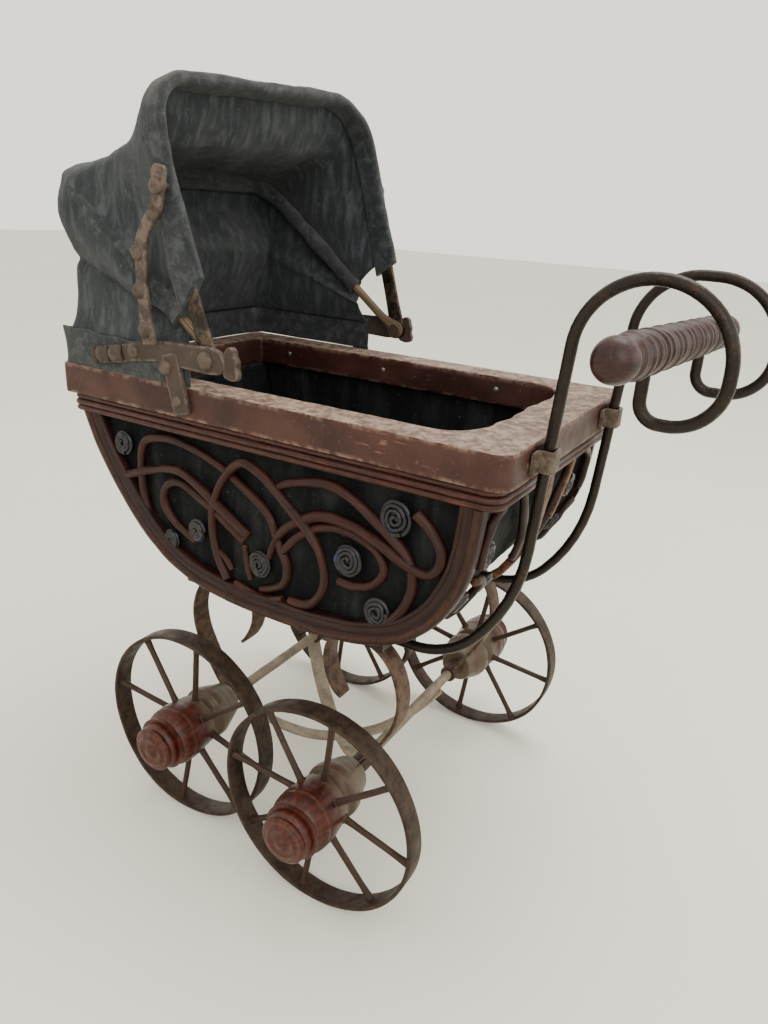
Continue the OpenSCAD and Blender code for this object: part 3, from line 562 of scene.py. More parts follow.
def make_turned(name, dark, mid, light, dust, coat=0.35, dust_amount=0.6, inner=None):
    p = Paint(name, coat=coat, coat_rough=0.25)
    ring = p.noise(1.0, 4, 0.6, p.stretch(2.2, 0.06, 1.0))
    along = p.noise(1.0, 5, 0.65, p.stretch(0.09, 0.8, 1.0))
    color = p.mix(p.band(along, 0.36, 0.64), dark, mid)
    color = p.lay(p.band(ring, 0.5, 0.7), 0.25, color, light)
    speck = p.band(p.noise(330, 4, 0.7), 0.63, 0.70)
    color = p.lay(speck, 0.3, color, dust)
    groove = p.mul(p.attr("wear"), p.band(p.noise(240, 4, 0.7), 0.28, 0.55))
    color = p.lay(groove, 0.3, color, dust)
    if inner is not None:
        part = p.band(p.attr("grain2"), 0.0, 1.0)
        color = p.lay(part, p.band(p.noise(60, 5, 0.6), 0.2, 0.55, 0.5, 1.0), color, inner)
    color = dusty(p, color, dust, dust_amount, 0.3, 1.0, 70)
    rough = p.band(p.noise(100, 4), 0.3, 0.7, 0.26, 0.5)
    return p.done(color, rough, p.bump(p.math("ADD", ring, p.mul(along, 0.7)), 0.0005, 0.5), 1.4)


def make_coil():
    p = Paint("coil_paint", coat=0.35, coat_rough=0.18)
    cloud = p.noise(160, 5, 0.65)
    color = p.mix(p.band(cloud, 0.35, 0.65), (18, 18, 26), (42, 40, 52))
    brown = p.band(p.noise(90, 4, 0.6), 0.52, 0.68)
    color = p.lay(brown, 0.6, color, (86, 66, 56))
    blue = p.band(p.noise(120, 2, 0.5), 0.66, 0.72)
    color = p.lay(blue, 0.6, color, (52, 72, 122))
    color = dusty(p, color, (128, 120, 114), 0.35, 0.2, 0.95, 130)
    rough = p.band(cloud, 0.3, 0.7, 0.22, 0.55)
    return p.done(color, rough, p.bump(p.noise(700, 5, 0.7), 0.0004, 0.6), 1.4)


CANE = make_cane("cane", (58, 29, 22), (92, 48, 34), (124, 72, 50), 0.15, 0.1)
FRAME_CANE = make_cane("cane_frame", (50, 25, 20), (80, 42, 32), (108, 62, 47), 0.12, 0.08)
REED = make_cane("molding_cane", (64, 31, 28), (98, 54, 48), (142, 98, 90), 0.25, 0.15)
BOARD = make_board()
PALE_WOOD = make_cane("plain_wood", (108, 95, 80), (142, 126, 106), (166, 150, 130), 0.3, 0.0)
BASE_WOOD = make_cane("base_wood", (54, 38, 30), (76, 54, 42), (96, 70, 54), 0.4, 0.0)
COIL = make_coil()
HOOD = make_cloth("hood_cloth", (41, 46, 50), (96, 101, 103), 0.34, (240, 240, 46), 0.2, sheen=0.12)
HOOD_TRIM = make_cloth("hood_trim_cloth", (40, 44, 47), (94, 98, 98), 0.32, (190, 190, 190), 0.25, sheen=0.12)
LINING = make_cloth("lining_cloth", (20, 23, 24), (54, 57, 57), 0.5, (70, 70, 14), 0.25, sheen=0.0)
PLATE_IRON = make_iron("plate_iron", (66, 56, 50), (136, 122, 112), (116, 104, 95), 0.3)
ROD_IRON = make_iron("rod_iron", (42, 37, 33), (120, 104, 88), (100, 90, 78), 0.6, (0.24, 0.42), 0.15)
SPRING_IRON = make_iron("spring_iron", (56, 41, 34), (124, 100, 80), (108, 92, 76), 0.2, (0.45, 0.68), 0.35)
BAND_IRON = make_iron("band_iron", (40, 29, 23), (84, 67, 53), (80, 67, 55), 0.2, (0.45, 0.72), 0.25)
SPOKE_IRON = make_iron("spoke_iron", (56, 41, 34), (108, 88, 72), (104, 90, 76), 0.2, (0.42, 0.65), 0.3)
AXLE_IRON = make_iron("axle_iron", (116, 104, 91), (162, 150, 134), (170, 160, 142), 0.15, (0.6, 0.85), 0.7)
CLIP_IRON = make_iron("clip_iron", (68, 57, 49), (132, 118, 104), (114, 102, 92), 0.3)
NAIL = make_iron("nail_steel", (120, 116, 108), (190, 186, 176), (150, 140, 124), 0.7, (0.3, 0.5), 0.4)
HUB = make_turned("hub_wood", (62, 28, 21), (104, 50, 36), (134, 72, 52), (118, 98, 82),
                  0.15, 0.2, (112, 100, 86))
GRIP = make_turned("grip_wood", (52, 27, 26), (80, 46, 42), (108, 70, 62), (126, 106, 94), 0.2, 0.15)


# ---- making objects
def build(node, shape, mat, body="carriage", angle=38, blend=None, inner=None, name=None):
    """Makes the object that replaces a CAD node and rides its body, or stays unparented where blend is given;
    it is called node_look if not named.
    """
    name = name or node + "_look"
    verts = (np.concatenate(shape.v) + np.array([X_SHIFT, 0, 0])) * MM
    mesh = bpy.data.meshes.new(name)
    mesh.from_pydata(verts.tolist(), [], shape.f)
    mesh.materials.append(mat)
    mesh.polygons.foreach_set("use_smooth", [True] * len(shape.f))
    bm = bmesh.new()
    bm.from_mesh(mesh)
    bmesh.ops.recalc_face_normals(bm, faces=bm.faces)
    bm.to_mesh(mesh)
    bm.free()
    mesh.update()
    mesh.set_sharp_from_angle(angle=math.radians(angle))
    grain = mesh.attributes.new("grain", "FLOAT_VECTOR", "POINT")
    grain.data.foreach_set("vector", np.concatenate(shape.g).astype(np.float32).ravel())
    wear = mesh.attributes.new("wear", "FLOAT", "POINT")
    wear.data.foreach_set("value", np.concatenate(shape.w).astype(np.float32))
    if inner is not None:
        second = mesh.attributes.new("grain2", "FLOAT", "POINT")
        second.data.foreach_set("value", np.asarray(inner(np.concatenate(shape.v)), np.float32))
    ob = bpy.data.objects.new(name, mesh)
    bpy.context.scene.collection.objects.link(ob)
    if blend:
        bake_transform(ob)
    else:
        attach(ob, body)
    if node:
        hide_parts(node)
    return ob


def xz(path, y):
    path = np.asarray(path, float)
    return np.stack([path[:, 0], np.broadcast_to(y, len(path)), path[:, 1]], 1)


# ---- wheels
def wheel(key, sx, sy, seed):
    body = f"wheel_{key}"
    cy = sy * TRACK[sx] / 2
    centre = np.array([sx * AXLE_X, cy, WHEEL_R])
    a = np.linspace(0, 2 * np.pi, 120, endpoint=False)
    r = WHEEL_R - BAND_T / 2 - 0.35 + 0.3 * np.sin(2 * a + seed) + 0.15 * np.sin(5 * a + 2 * seed)
    r = np.minimum(r, WHEEL_R - BAND_T / 2 - 0.05)
    path = centre + np.stack([r * np.sin(a), 0.35 * np.sin(a + seed) + 0.2 * np.sin(3 * a), r * np.cos(a)], 1)
    band = Shape()
    thick = 1 + 0.12 * np.sin(7 * a + seed)
    band.sweep(path, rounded(BAND_W - 0.4, BAND_T, 0.7, 3), up=(0, 1, 0), closed=True,
               scale=np.stack([1 + 0.03 * np.sin(4 * a), thick], 1), seed=seed, rough=0.1, rough_size=9)
    build(f"wheel_{key}_band", band, BAND_IRON, body)

    spokes = Shape()
    for i in range(8):
        t = math.radians(45 * i + 8)
        out = np.array([math.sin(t), 0, math.cos(t)])
        tilt, lift = math.radians(4.2), 3.2
        s = 1 if i % 2 == 0 else -1
        steps = np.concatenate([[HUB_R - 5.5], np.linspace(HUB_R - 1.5, WHEEL_R - BAND_T - 1.2, 7),
                                [WHEEL_R - BAND_T + 0.4]])
        d = steps * math.cos(tilt)
        y = -sy * (s * lift - s * steps * math.sin(tilt))
        line = centre + out * d[:, None] + np.array([0, 1.0, 0]) * y[:, None]
        line += 0.25 * wave(line + 50 * seed, 25, seed)[:, None] * np.array([1.0, 0.6, -0.8])
        width = np.interp(steps, [11, 17, 22, 50, 56, 58.5], [1.25, 1.15, 0.98, 0.95, 1.05, 1.5])
        spokes.sweep(line, circle(1.84, 12), scale=width, seed=i + 10 * seed, rough=0.08)
        spokes.lathe([(2.9, -0.6, 0.3), (2.7, 0.3, 1), (2.0, 0.75, 1), (0.02, 0.9, 0.4)],
                     line[1] + out * 0.4, out, 14, i, rough=0.1)
    build(f"wheel_{key}_spokes", spokes, SPOKE_IRON, body)

    h = HUB_HALF
    hub = Shape()
    points = moved([(3.6, 8.4), (14.6, 8.2), (15.6, 9.2), (15.2, 10.6, 1), (14.8, 11.2, 1), (16.0, 12.6),
                    (16.9, 15), (17.4, 18), (17.1, 19.4, 1), (17.45, 20.6), (17.5, 23), (17.2, 26)], -h)
    points += [(16.9, -5), (16.6, -2), (16.2, 1.5), (15.9, 4.2), (15.2, 5.6, 1), (13.9, 6.8, 1), (13.5, 8, 1),
               (13.5, 9.6, 1), (14.3, 10.8), (16.0, 12), (16.3, 14), (16.1, 16.6), (15.0, 19.5), (13.8, 23)]
    points += moved([(12.6, -6), (11.4, -2.4), (10.6, -0.6), (9.4, 0), (3.6, 0)], h)
    points = padded(points)
    dense = smooth(points, 3)
    dense[:, 2] = np.clip(dense[:, 2], 0, 1)
    dense[0], dense[-1] = points[0], points[-1]
    hub.lathe(dense.tolist(), centre, (0, -sy, 0), 56, seed, rough=0.12, hole=True)
    build(f"wheel_{key}_hub", hub, HUB, body, 50,
          inner=lambda v: np.clip((5.0 - (v[:, 1] - cy) * sy) / 8.0, 0, 1))
    cap = Shape()
    profile = moved([(13.6, 8), (13.75, 6.6), (13.5, 5.2), (12.7, 4.5, 1), (12.2, 4.0, 1),
               (12.6, 3.3), (13.1, 2.4), (13.0, 1.4), (12.2, 0.7), (11.0, 0.5, 1),
               (10.0, 0.6, 1), (9.4, 0.1), (8.5, -0.6), (7.6, -0.75), (6.6, -0.2, 1),
               (5.2, 0.1, 1), (3.9, -0.2), (3.3, -1.0), (2.7, -1.7), (1.5, -2.0),
               (0.02, -2.1)], -h)
    cap.lathe(profile, centre, (0, -sy, 0), 48, seed + 5, rough=0.08)
    build(f"wheel_{key}_cap", cap, HUB, body, 50,
          inner=lambda v: v[:, 1] * 0)


for seed, (key, sx, sy) in enumerate((("hn", -1, -1), ("hf", -1, 1), ("gn", 1, -1), ("gf", 1, 1)), 1):
    wheel(key, sx, sy, seed)


# ---- running gear
for name, sx in (("axle_hood", -1), ("axle_handle", 1)):
    end = TRACK[sx] / 2 + HUB_HALF - 12
    rod = Shape()
    line = np.stack([np.full(25, sx * AXLE_X), np.linspace(-end, end, 25), np.full(25, WHEEL_R)], 1)
    rod.sweep(line, circle(3.2, 16), seed=sx + 5, rough=0.05)
    for s in (-1, 1):
        rod.lathe([(4.8, -1), (4.9, 0.2), (4.2, 0.9), (0.02, 1.2)], (sx * AXLE_X, s * (end - 0.6), WHEEL_R),
                  (0, s, 0), 20)
    build(name, rod, AXLE_IRON)

for name, sx, sy in (("spring_hood_near", -1, -1), ("spring_hood_far", -1, 1),
                     ("spring_handle_near", 1, -1), ("spring_handle_far", 1, 1)):
    edge = TRACK[sx] / 2 - HUB_HALF - 0.5
    y = sy * (edge - 6.4)
    turn = [(AXLE_X + 4.4 * math.cos(q), WHEEL_R + 4.4 * math.sin(q))
            for q in np.radians(np.linspace(395, 75, 26))]
    curve = smooth([turn[-1]] + SPRING, 7)
    leaf = Shape()
    full = np.concatenate([np.array(turn[:-1]), curve])
    full[:, 0] *= sx
    n = len(full)
    scale = np.ones((n, 2))
    scale[-8:, 0] = np.linspace(1, 0.72, 8)
    scale[:, 0] *= 1 + 0.03 * np.sin(np.linspace(0, 19, n))
    leaf.sweep(xz(full, y), rounded(12.6, 2.1, 0.8, 3), up=(0, 1, 0), scale=scale, seed=sx * 3 + sy + 9,
               rough=0.12, rough_size=8)
    leaf.lathe([(3.35, -6.3), (5.3, -6.3), (5.5, -5.8), (5.5, 5.8), (5.3, 6.3), (3.35, 6.3)],
               (sx * AXLE_X, y, WHEEL_R), (0, 1, 0), 36, 3, rough=0.08, hole=True)
    leaf.dome((sx * 60, y, 143.9), (sx * 0.5, 0, 0.86), 3.0, 1.6, 4)
    build(name, leaf, SPRING_IRON)

for name, sy, drop in (("brace_a", 1, 20.0), ("brace_b", -1, 22.2)):
    half = math.hypot(AXLE_X + 1, 42)
    u = np.linspace(-half, half, 61)
    z = drop + (55.6 - drop) * np.abs(u / half) ** 2.2
    d = np.array([AXLE_X + 1, sy * 42]) / half
    line = np.stack([u * d[0], u * d[1], z + 0.25 * np.sin(u / 7)], 1)
    strap = Shape()
    strap.sweep(line, rounded(9.6, 1.9, 0.7, 3), up=(-d[1], d[0], 0), seed=sy + 20, rough=0.12, rough_size=9)
    build(name, strap, AXLE_IRON)


# ---- rim boards and molding
def plan(xa, xb, y, ra, rb, na=44, nb=28, nc=9):
    """Closed outline in plan, anticlockwise from the near hood corner, the same count on each stretch."""
    out = []

    def line(p, q, n):
        out.extend([(p[0] + (q[0] - p[0]) * t / n, p[1] + (q[1] - p[1]) * t / n) for t in range(n)])

    def arc(cx, cy, r, a0):
        out.extend([(cx + r * math.cos(math.radians(a0 + 90 * t / nc)),
                     cy + r * math.sin(math.radians(a0 + 90 * t / nc))) for t in range(nc)])

    line((xa + ra, -y), (xb - rb, -y), na)
    arc(xb - rb, -y + rb, rb, -90)
    line((xb, -y + rb), (xb, y - rb), nb)
    arc(xb - rb, y - rb, rb, 0)
    line((xb - rb, y), (xa + ra, y), na)
    arc(xa + ra, y - ra, ra, 90)
    line((xa, y - ra), (xa, -y + ra), nb)
    arc(xa + ra, -y + ra, ra, 180)
    return np.array(out)


def ring(shape, outer, inner, section, seed, rough, chips=0.0):
    """Closed band in plan. A section point is (side, push, z, wear): side 0 outer, 1 inner."""
    n, m = len(outer), len(section)
    o_n, i_n = outward(outer), outward(inner)
    length = running(spans(outer))
    verts, grain, wear = np.zeros((n, m, 3)), np.zeros((n, m, 3)), np.zeros((n, m))
    run = 0.0
    for j, (side, push, z, w) in enumerate(section):
        p = outer * (1 - side) + inner * side
        k = unit(o_n * (1 - side) - i_n * side) if side in (0, 1) else o_n * 0
        verts[:, j, :2], verts[:, j, 2] = p + k * push, z
        run += abs(z - section[j - 1][2]) + abs(push - section[j - 1][1]) if j else 0
        grain[:, j, 0], grain[:, j, 1], grain[:, j, 2] = length, run, seed
        wear[:, j] = w
        verts[:, j, :2] += k * (rough * wave(verts[:, j], 14, seed, 3))[:, None]
        if z > BOARD_Z + 3:
            verts[:, j, 2] += 0.5 * rough * wave(verts[:, j] + 90, 18, seed, 3)
        if chips and w > 0.5:
            bite = np.clip(wave(verts[:, j] + 40, 4.5, seed + 3, 3) - 0.35, 0, 1) * chips
            verts[:, j, :2] -= k * bite[:, None]
            verts[:, j, 2] -= bite * (0.8 if z > BOARD_Z + 8 else -0.5)
    shape.add(verts, quads(n, m, True), grain, wear)


boards = Shape()
outer = plan(RIM_X0, RIM_X1, RIM_Y, 3, 9, 88, 56, 10)
inner = plan(RIM_X0 + BOARD_W, RIM_X1 - BOARD_END_W, RIM_Y - BOARD_W, 2, 22, 88, 56, 10)
end = np.clip((inner[:, 0] - 60) / 30, 0, 1)
uneven = 0.7 * end * np.sin(inner[:, 1] / 7.5 + 1) + 0.5 * end * np.sin(inner[:, 1] / 3.1)
inner = inner - outward(inner) * uneven[:, None]
z0, z1 = BOARD_Z, RIM_Z
section = [(0, -0.9, z0, 1), (0, -0.15, z0 + 0.3, 1), (0, 0, z0 + 1.1, 0.8), (0, 0, z0 + 2.6, 0),
           (0, 0, z0 + 5.2, 0), (0, 0, z0 + 8.3, 0), (0, 0, z0 + 11.2, 0), (0, 0, z1 - 2.6, 0),
           (0, 0, z1 - 1.3, 0.7), (0, -0.2, z1 - 0.4, 1), (0, -0.9, z1, 1), (0, -2.4, z1, 0),
           (0.28, 0, z1, 0), (0.5, 0, z1, 0), (0.72, 0, z1, 0), (1, -2.4, z1, 0), (1, -0.9, z1, 1),
           (1, -0.2, z1 - 0.4, 1), (1, 0, z1 - 1.4, 0.6), (1, 0, z1 - 3.5, 0), (1, 0, z1 - 8, 0),
           (1, 0, z0 + 2.4, 0), (1, 0, z0 + 1, 0.6), (1, -0.8, z0, 1)]
ring(boards, outer, inner, section, 3, rough=0.1, chips=0.25)
# the lamination line on the outer faces near the handle end
v = boards.v[0].reshape(len(outer), len(section), 3)
near_corner = np.clip((outer[:, 0] - 70) / 25, 0, 1)
v[:, 6, :2] -= outward(outer) * (0.5 * near_corner)[:, None]
v[:, 6, 2] -= 0.5 * near_corner
build("rim_boards", boards, BOARD, angle=50)

reeds = Shape()
outer = plan(RIM_X0 + 6, RIM_X1 - 4, RIM_Y - 2.6, 3, 8, 88, 56, 10)
inner = plan(RIM_X0 + 13, RIM_X1 - 11, RIM_Y - 9, 2, 4, 88, 56, 10)
section = [(1, 0, BOARD_Z - 0.1, 0), (0, -1.0, BOARD_Z - 0.1, 0)]
for cz, r, out in ((BOARD_Z - 1.7, 1.65, 0.1), (BOARD_Z - 5.0, 1.75, 0.5), (BOARD_Z - 8.4, 1.75, 0.2)):
    for a in np.radians([78, 50, 22, 0, -22, -50, -78]):
        section.append((0, out + r * math.cos(a) - 1.0, cz + r * math.sin(a), 0.25 if abs(a) < 0.5 else 0))
section += [(0, -1.6, BOARD_Z - 10.5, 0), (1, 0, BOARD_Z - 10.5, 0)]
ring(reeds, outer, inner, section, 8, rough=0.22)
build("rim_molding", reeds, REED, angle=75)

# ---- boat side frames
for side, s in SIDES:
    path = xz(smooth(BOAT, 6), s * 80.0)
    profile = [(-2.5, 0), (0.6, 0), (2.2, 0.25), (3.2, 1.0), (3.7, 2.2), (3.75, 3.0), (3.4, 4.2), (2.6, 5.0),
               (2.35, 5.4), (2.75, 6.2), (3.1, 7.4), (3.0, 8.6), (2.5, 9.4), (2.3, 9.7), (2.65, 10.3),
               (2.6, 11.2), (2.0, 11.9), (0.5, 12.2), (-2.5, 12.2)]
    sec = [(a, (b if s > 0 else -b), 0.3 if 3.3 < a else 0.0) for a, b in profile]
    frame_band = Shape()
    frame_band.sweep(path, sec, up=(0, s, 0), seed=s + 3, rough=0.2, rough_size=10)
    build(f"side_frame_{side}", frame_band, FRAME_CANE, angle=60)

# ---- scrolled canes
LEVEL = [0.4, -1.0, -0.5, 1.5, 0.7, 1.1, 0.1]
THICK = [2.6, 2.5, 2.5, 2.6, 2.7, 2.75, 2.4]


def cane_rod(shape, path, r, seed, pale=0.8):
    """Cane rod, slightly uneven, with pale cut ends."""
    first, last = path[1] - path[0], path[-2] - path[-1]
    first = first * min(0.25, 0.6 / np.linalg.norm(first))
    last = last * min(0.25, 0.6 / np.linalg.norm(last))
    path = np.concatenate([path[:1], path[:1] + first, path[1:-1], path[-1:] + last, path[-1:]])
    t = np.linspace(0, 1, len(path))
    width = 1 + 0.07 * np.sin(9 * t + seed) + 0.05 * np.sin(23 * t + 2 * seed)
    width[0] *= 0.86
    width[-1] *= 0.86
    shape.sweep(path, circle(r, 14), seed=seed, scale=width, rough=0.16, rough_size=5)
    wear = shape.w[-1].reshape(len(path), 14)
    wear[0], wear[-1] = pale, pale


for side, s in SIDES:
    rods = Shape()
    for i, line in enumerate(SCROLLS):
        p = xz(smooth(line, 7), s * (79.4 + LEVEL[i]))
        p[:, 1] += s * 0.35 * np.sin(np.linspace(0, 9, len(p)) + i)
        p[:, 0] += 0.35 * wave(p, 14, i + 40)
        p[:, 2] += 0.35 * wave(p, 14, i + 60)
        cane_rod(rods, p, THICK[i], i + (20 if s > 0 else 0))
    for i, line in enumerate(OFFCUTS):
        cane_rod(rods, xz(smooth(line, 6), s * 80.2), 1.9, i + 70, 1.0)
    build(f"scrolls_{side}", rods, CANE, angle=60)


# ---- coiled cane buttons
def coil(shape, centre, e1, e2, r, seed):
    """Flat spiral of thin cane on a pad, oval and uneven, facing e1 x e2."""
    e1, e2 = unit(np.array(e1, float)), unit(np.array(e2, float))
    face = np.cross(e1, e2)
    centre = np.array(centre, float)
    tilt = seed * 1.3
    turns = 2.6
    a = np.linspace(0, turns * 2 * np.pi, 96)
    rr = 0.9 + (r - 2.1) * (a / a[-1]) ** 0.85
    rr = rr + 0.18 * np.sin(3 * a + seed)
    x = rr * np.cos(a + tilt) * 0.95
    y = rr * np.sin(a + tilt) * 1.08
    z = 2.9 + 0.9 * (1 - rr / r) + 0.15 * np.sin(5 * a + seed)
    path = centre + x[:, None] * e1 + y[:, None] * e2 + z[:, None] * face
    width = np.linspace(0.72, 1.0, 96) + 0.08 * np.sin(11 * a)
    shape.sweep(path, circle(1.3, 9), scale=width, seed=seed, rough=0.12, rough_size=2.5)
    a = np.linspace(0, 2 * np.pi, 40, endpoint=False)
    ring_path = (centre + (0.97 * (r - 1.0) * np.cos(a))[:, None] * e1
                 + (1.07 * (r - 1.0) * np.sin(a))[:, None] * e2 + 2.0 * face)
    shape.sweep(ring_path, circle(1.35, 10), closed=True, seed=seed + 3, rough=0.15, rough_size=3)
    pad = [(r - 1.2, 0.0), (r - 0.6, 0.6), (r - 0.8, 2.0), (r * 0.5, 2.6), (0.02, 3.0)]
    shape.lathe(pad, centre, face, 32, seed, rough=0.15)


for side, s in SIDES:
    coils = Shape()
    for i, (x, z, r) in enumerate(COILS):
        coil(coils, (x, s * 77.9, z), (-s, 0, 0), (0, 0, 1), r, i + 1)
    build(f"coils_{side}", coils, COIL, angle=70)

HANDLE_END = np.array(BOAT[10:], float)
HOOD_END = np.array(BOAT[:10][::-1], float)


def end_x(s, z):
    curve = HANDLE_END if s > 0 else HOOD_END
    return np.interp(z, curve[:, 1], curve[:, 0])


def end_rod(s, line, out):
    p = smooth(line, 6)
    return np.stack([end_x(s, p[:, 1]) + s * out, p[:, 0], p[:, 1]], 1)


coils = Shape()
for i, (s, y, z, r) in enumerate(END_COILS):
    slope = np.array([end_x(s, z + 4) - end_x(s, z - 4), 0, 8.0])
    coil(coils, (end_x(s, z) - s * 3.6, y, z), (0, s, 0), slope, r, i + 11)
build("coils_ends", coils, COIL, angle=70)

for name, s in (("end_scrolls_handle", 1), ("end_scrolls_hood", -1)):
    rods = Shape()
    for i, line in enumerate(END_LINES):
        cane_rod(rods, end_rod(s, line, -0.2 + 0.5 * (i % 2)), 2.3, i + 30)
    # flat split strut down the middle, and a thinner slat beside it
    z = np.linspace(238, 170, 12)
    strut = np.stack([end_x(s, z) + s * 1.0, np.full(12, -3.0 * s) + 0.5 * np.sin(z / 9), z], 1)
    rods.sweep(strut, rounded(7.2, 4.4, 1.2, 3), up=(0, 1, 0), seed=41, rough=0.3, rough_size=7)
    slat = end_rod(s, [(35, 236), (27, 219), (19, 205)], 1.4)
    rods.sweep(slat, rounded(4.6, 2.4, 0.8, 3), up=(0, 1, 0), seed=42, rough=0.2, rough_size=6)
    build(name, rods, FRAME_CANE, angle=60)


# ---- cloth made of grids
def cloth(grid, thick, seed, wrinkle, size, threads=None, edge=1.0):
    """Thin closed shell on the grid of points. threads are its two thread coordinates, in mm, where they
    aren't the lengths along the grid; edge says how far the wrinkles reach."""
    n, m = grid.shape[:2]
    u, v = threads or (lengths(grid, 0), lengths(grid, 1))
    normal = unit(np.cross(np.gradient(grid, axis=0), np.gradient(grid, axis=1)))
    shift = wrinkle * wave(grid.reshape(-1, 3), size, seed, 3).reshape(n, m) * edge
    grid = grid + normal * shift[:, :, None]
    half = normal * thick / 2
    verts = np.concatenate([(grid + half).reshape(-1, 3), (grid - half).reshape(-1, 3)])
    grain = np.stack([u, v, np.full_like(u, seed)], 2).reshape(-1, 3)
    faces, k = [], n * m
    for i in range(n - 1):
        for j in range(m - 1):
            a, b, c, d = i * m + j, i * m + j + 1, (i + 1) * m + j + 1, (i + 1) * m + j
            faces += [(a, b, c, d), (k + d, k + c, k + b, k + a)]
    loop = ([j for j in range(m)] + [i * m + m - 1 for i in range(1, n)]
            + [(n - 1) * m + j for j in range(m - 2, -1, -1)] + [i * m for i in range(n - 2, 0, -1)])
    for a, b in zip(loop, loop[1:] + loop[:1]):
        faces.append((a, k + a, k + b, b))
    shape = Shape()
    shape.add(verts, faces, np.concatenate([grain, grain]))
    return shape


def lengths(grid, axis):
    step = np.linalg.norm(np.diff(grid, axis=axis), axis=2)
    total = np.cumsum(step, axis=axis)
    pad = np.zeros_like(total[:1] if axis == 0 else total[:, :1])
    return np.concatenate([pad, total], axis)


tub = smooth(TUB, 4)
rows = np.linspace(-73.6, 73.6, 60)
grid = np.stack(np.broadcast_arrays(tub[:, :1], rows[None, :], tub[:, 1:]), 2)
floor_sheet = cloth(grid, 0.9, 5, 0.7, 16)
lining = build("tub_lining", floor_sheet, LINING, angle=180, name="tub_lining_floor")
for side, s in SIDES:
    x = np.linspace(-121, 114.5, 80)
    low = np.interp(x, tub[:, 0], tub[:, 1])
    t = np.linspace(0, 1, 26)
    z = low[:, None] + (249.6 - low)[:, None] * t[None, :]
    grid = np.stack(np.broadcast_arrays(x[:, None], s * 74.2, z), 2)
    hold = np.clip(np.sin(np.pi * t) * 3, 0.15, 1)[None, :]
    grid[:, :, 1] += s * 0.5 * np.sin(x / 4.6)[:, None] * hold
    panel = cloth(grid, 0.9, 7 + s, 1.0, 18, (grid[:, :, 0], z), hold)
    ob = build(None, panel, LINING, angle=180, name=f"tub_lining_{side}")

# ---- nails, clips, screws
nails = Shape()
for x in (-96, -20, 60):
    for s in (-1, 1):
        nails.dome((x, s * (RIM_Y - BOARD_W - 0.2), RIM_Z - 8), (0, -s, 0), 1.6, 0.7, x, 0.1)
build("rim_nails", nails, NAIL)

CLIP_Z = 258.6
CLIP = [(132.2, -12), (132.2, -4.9), (138.9, -4.5), (138.9, 4.5), (132.2, 4.9), (132.2, 12), (132.1, 12.01)]
clips, screws = Shape(), Shape()
for s in (-1, 1):
    hat = fillet(CLIP, 1.7, 4)[2:-6]
    hat = np.stack([hat[:, 0], hat[:, 1] + s * ROD_Y, np.full(len(hat), CLIP_Z)], 1)
    clips.sweep(hat, rounded(10.4, 1.5, 0.6, 2), up=(0, 0, 1), seed=s + 2, rough=0.25, rough_size=3)
    for t in (-1, 1):
        screws.dome((133.0, s * ROD_Y + t * 8.6, CLIP_Z - 0.1), (1, 0, 0), 2.3, 1.5, s + t + 4, 0.15)
build("handle_clips", clips, CLIP_IRON)
build("clip_screws", screws, CLIP_IRON)


# ---- handle
def walk(start, steps):
    """Points of a path of ("s", length) and ("a", radius, degrees) steps in the X-Z plane."""
    x, z, heading = start[0], start[1], 0.0
    out = [(x, z)]
    for step in steps:
        if step[0] == "s":
            n = max(int(step[1] / 4), 1)
            for i in range(n):
                x += step[1] / n * math.cos(heading)
                z += step[1] / n * math.sin(heading)
                out.append((x, z))
        else:
            turn = math.radians(step[2])
            n = max(int(abs(step[2]) / 6), 3)
            for i in range(n):
                chord = 2 * step[1] * math.sin(abs(turn) / n / 2)
                heading += turn / n / 2
                x += chord * math.cos(heading)
                z += chord * math.sin(heading)
                heading += turn / n / 2
                out.append((x, z))
    return out


ROD_FOOT = (24, 143.4)
for name, y, drop, reach in (("near", -ROD_Y, 0.0, 0.0), ("far", ROD_Y, 2.8, 6.3)):
    steps = [("s", 51.5), ("a", 45, 50), ("a", 95, 36), ("s", 96 - drop), ("a", 31, -86)]
    if reach:
        steps.append(("s", reach))
    steps += [("a", 32, -90), ("s", 4), ("a", 20, -90), ("s", 3 + reach * 0.4), ("a", 9, -90), ("s", 14)]
    line = xz(walk(ROD_FOOT, steps), y)
    line[:, 1] += 0.5 * wave(line, 60, 3)
    rod = Shape()
    rod.sweep(line, circle(ROD_R - 0.05, 16), seed=5 + int(drop), rough=0.06, rough_size=5)
    build(f"handle_rod_{name}", rod, ROD_IRON)

half = 114.0
swing, dip = math.radians(1.2), math.radians(2.6)
axis = (math.sin(swing) * math.cos(dip), math.cos(swing) * math.cos(dip), -math.sin(dip))
left = moved([(0.02, 0.1), (2.0, 0.25), (4.2, 1.1), (6.0, 2.8), (7.0, 5.2),
        (7.3, 7.4), (7.1, 9.6), (6.4, 11.6), (5.6, 13.0, 1), (5.2, 13.9, 1),
        (5.5, 14.8)], -half)
middle = []
for i in range(9):
    b = -half + 28 + i * (2 * half - 56) / 8
    middle += moved([(6.0, -9.6, 1), (6.9, -8.9), (7.1, -7.9), (6.7, -7.1, 1), (7.0, -6.0), (7.5, -4.3),
               (7.3, -3.3, 0.6), (6.5, -2.7, 1), (6.9, -2.0), (7.8, -1.0), (7.95, 0), (7.8, 1.0),
               (6.9, 2.0), (6.5, 2.7, 1), (7.3, 3.3, 0.6), (7.5, 4.3), (7.0, 6.2),
               (6.6, 8.0), (6.3, 10.2, 0.5), (6.1, 12.0, 0.6)], b)
right = [(q[0], -q[1]) + tuple(q[2:]) for q in left[::-1]]
profile = [(q[0] * 1.19, q[1], q[2]) for q in padded(left + middle + right)]
profile = [q for i, q in enumerate(profile) if i == 0 or q[1] > profile[i - 1][1] + 0.05]
grip = Shape()
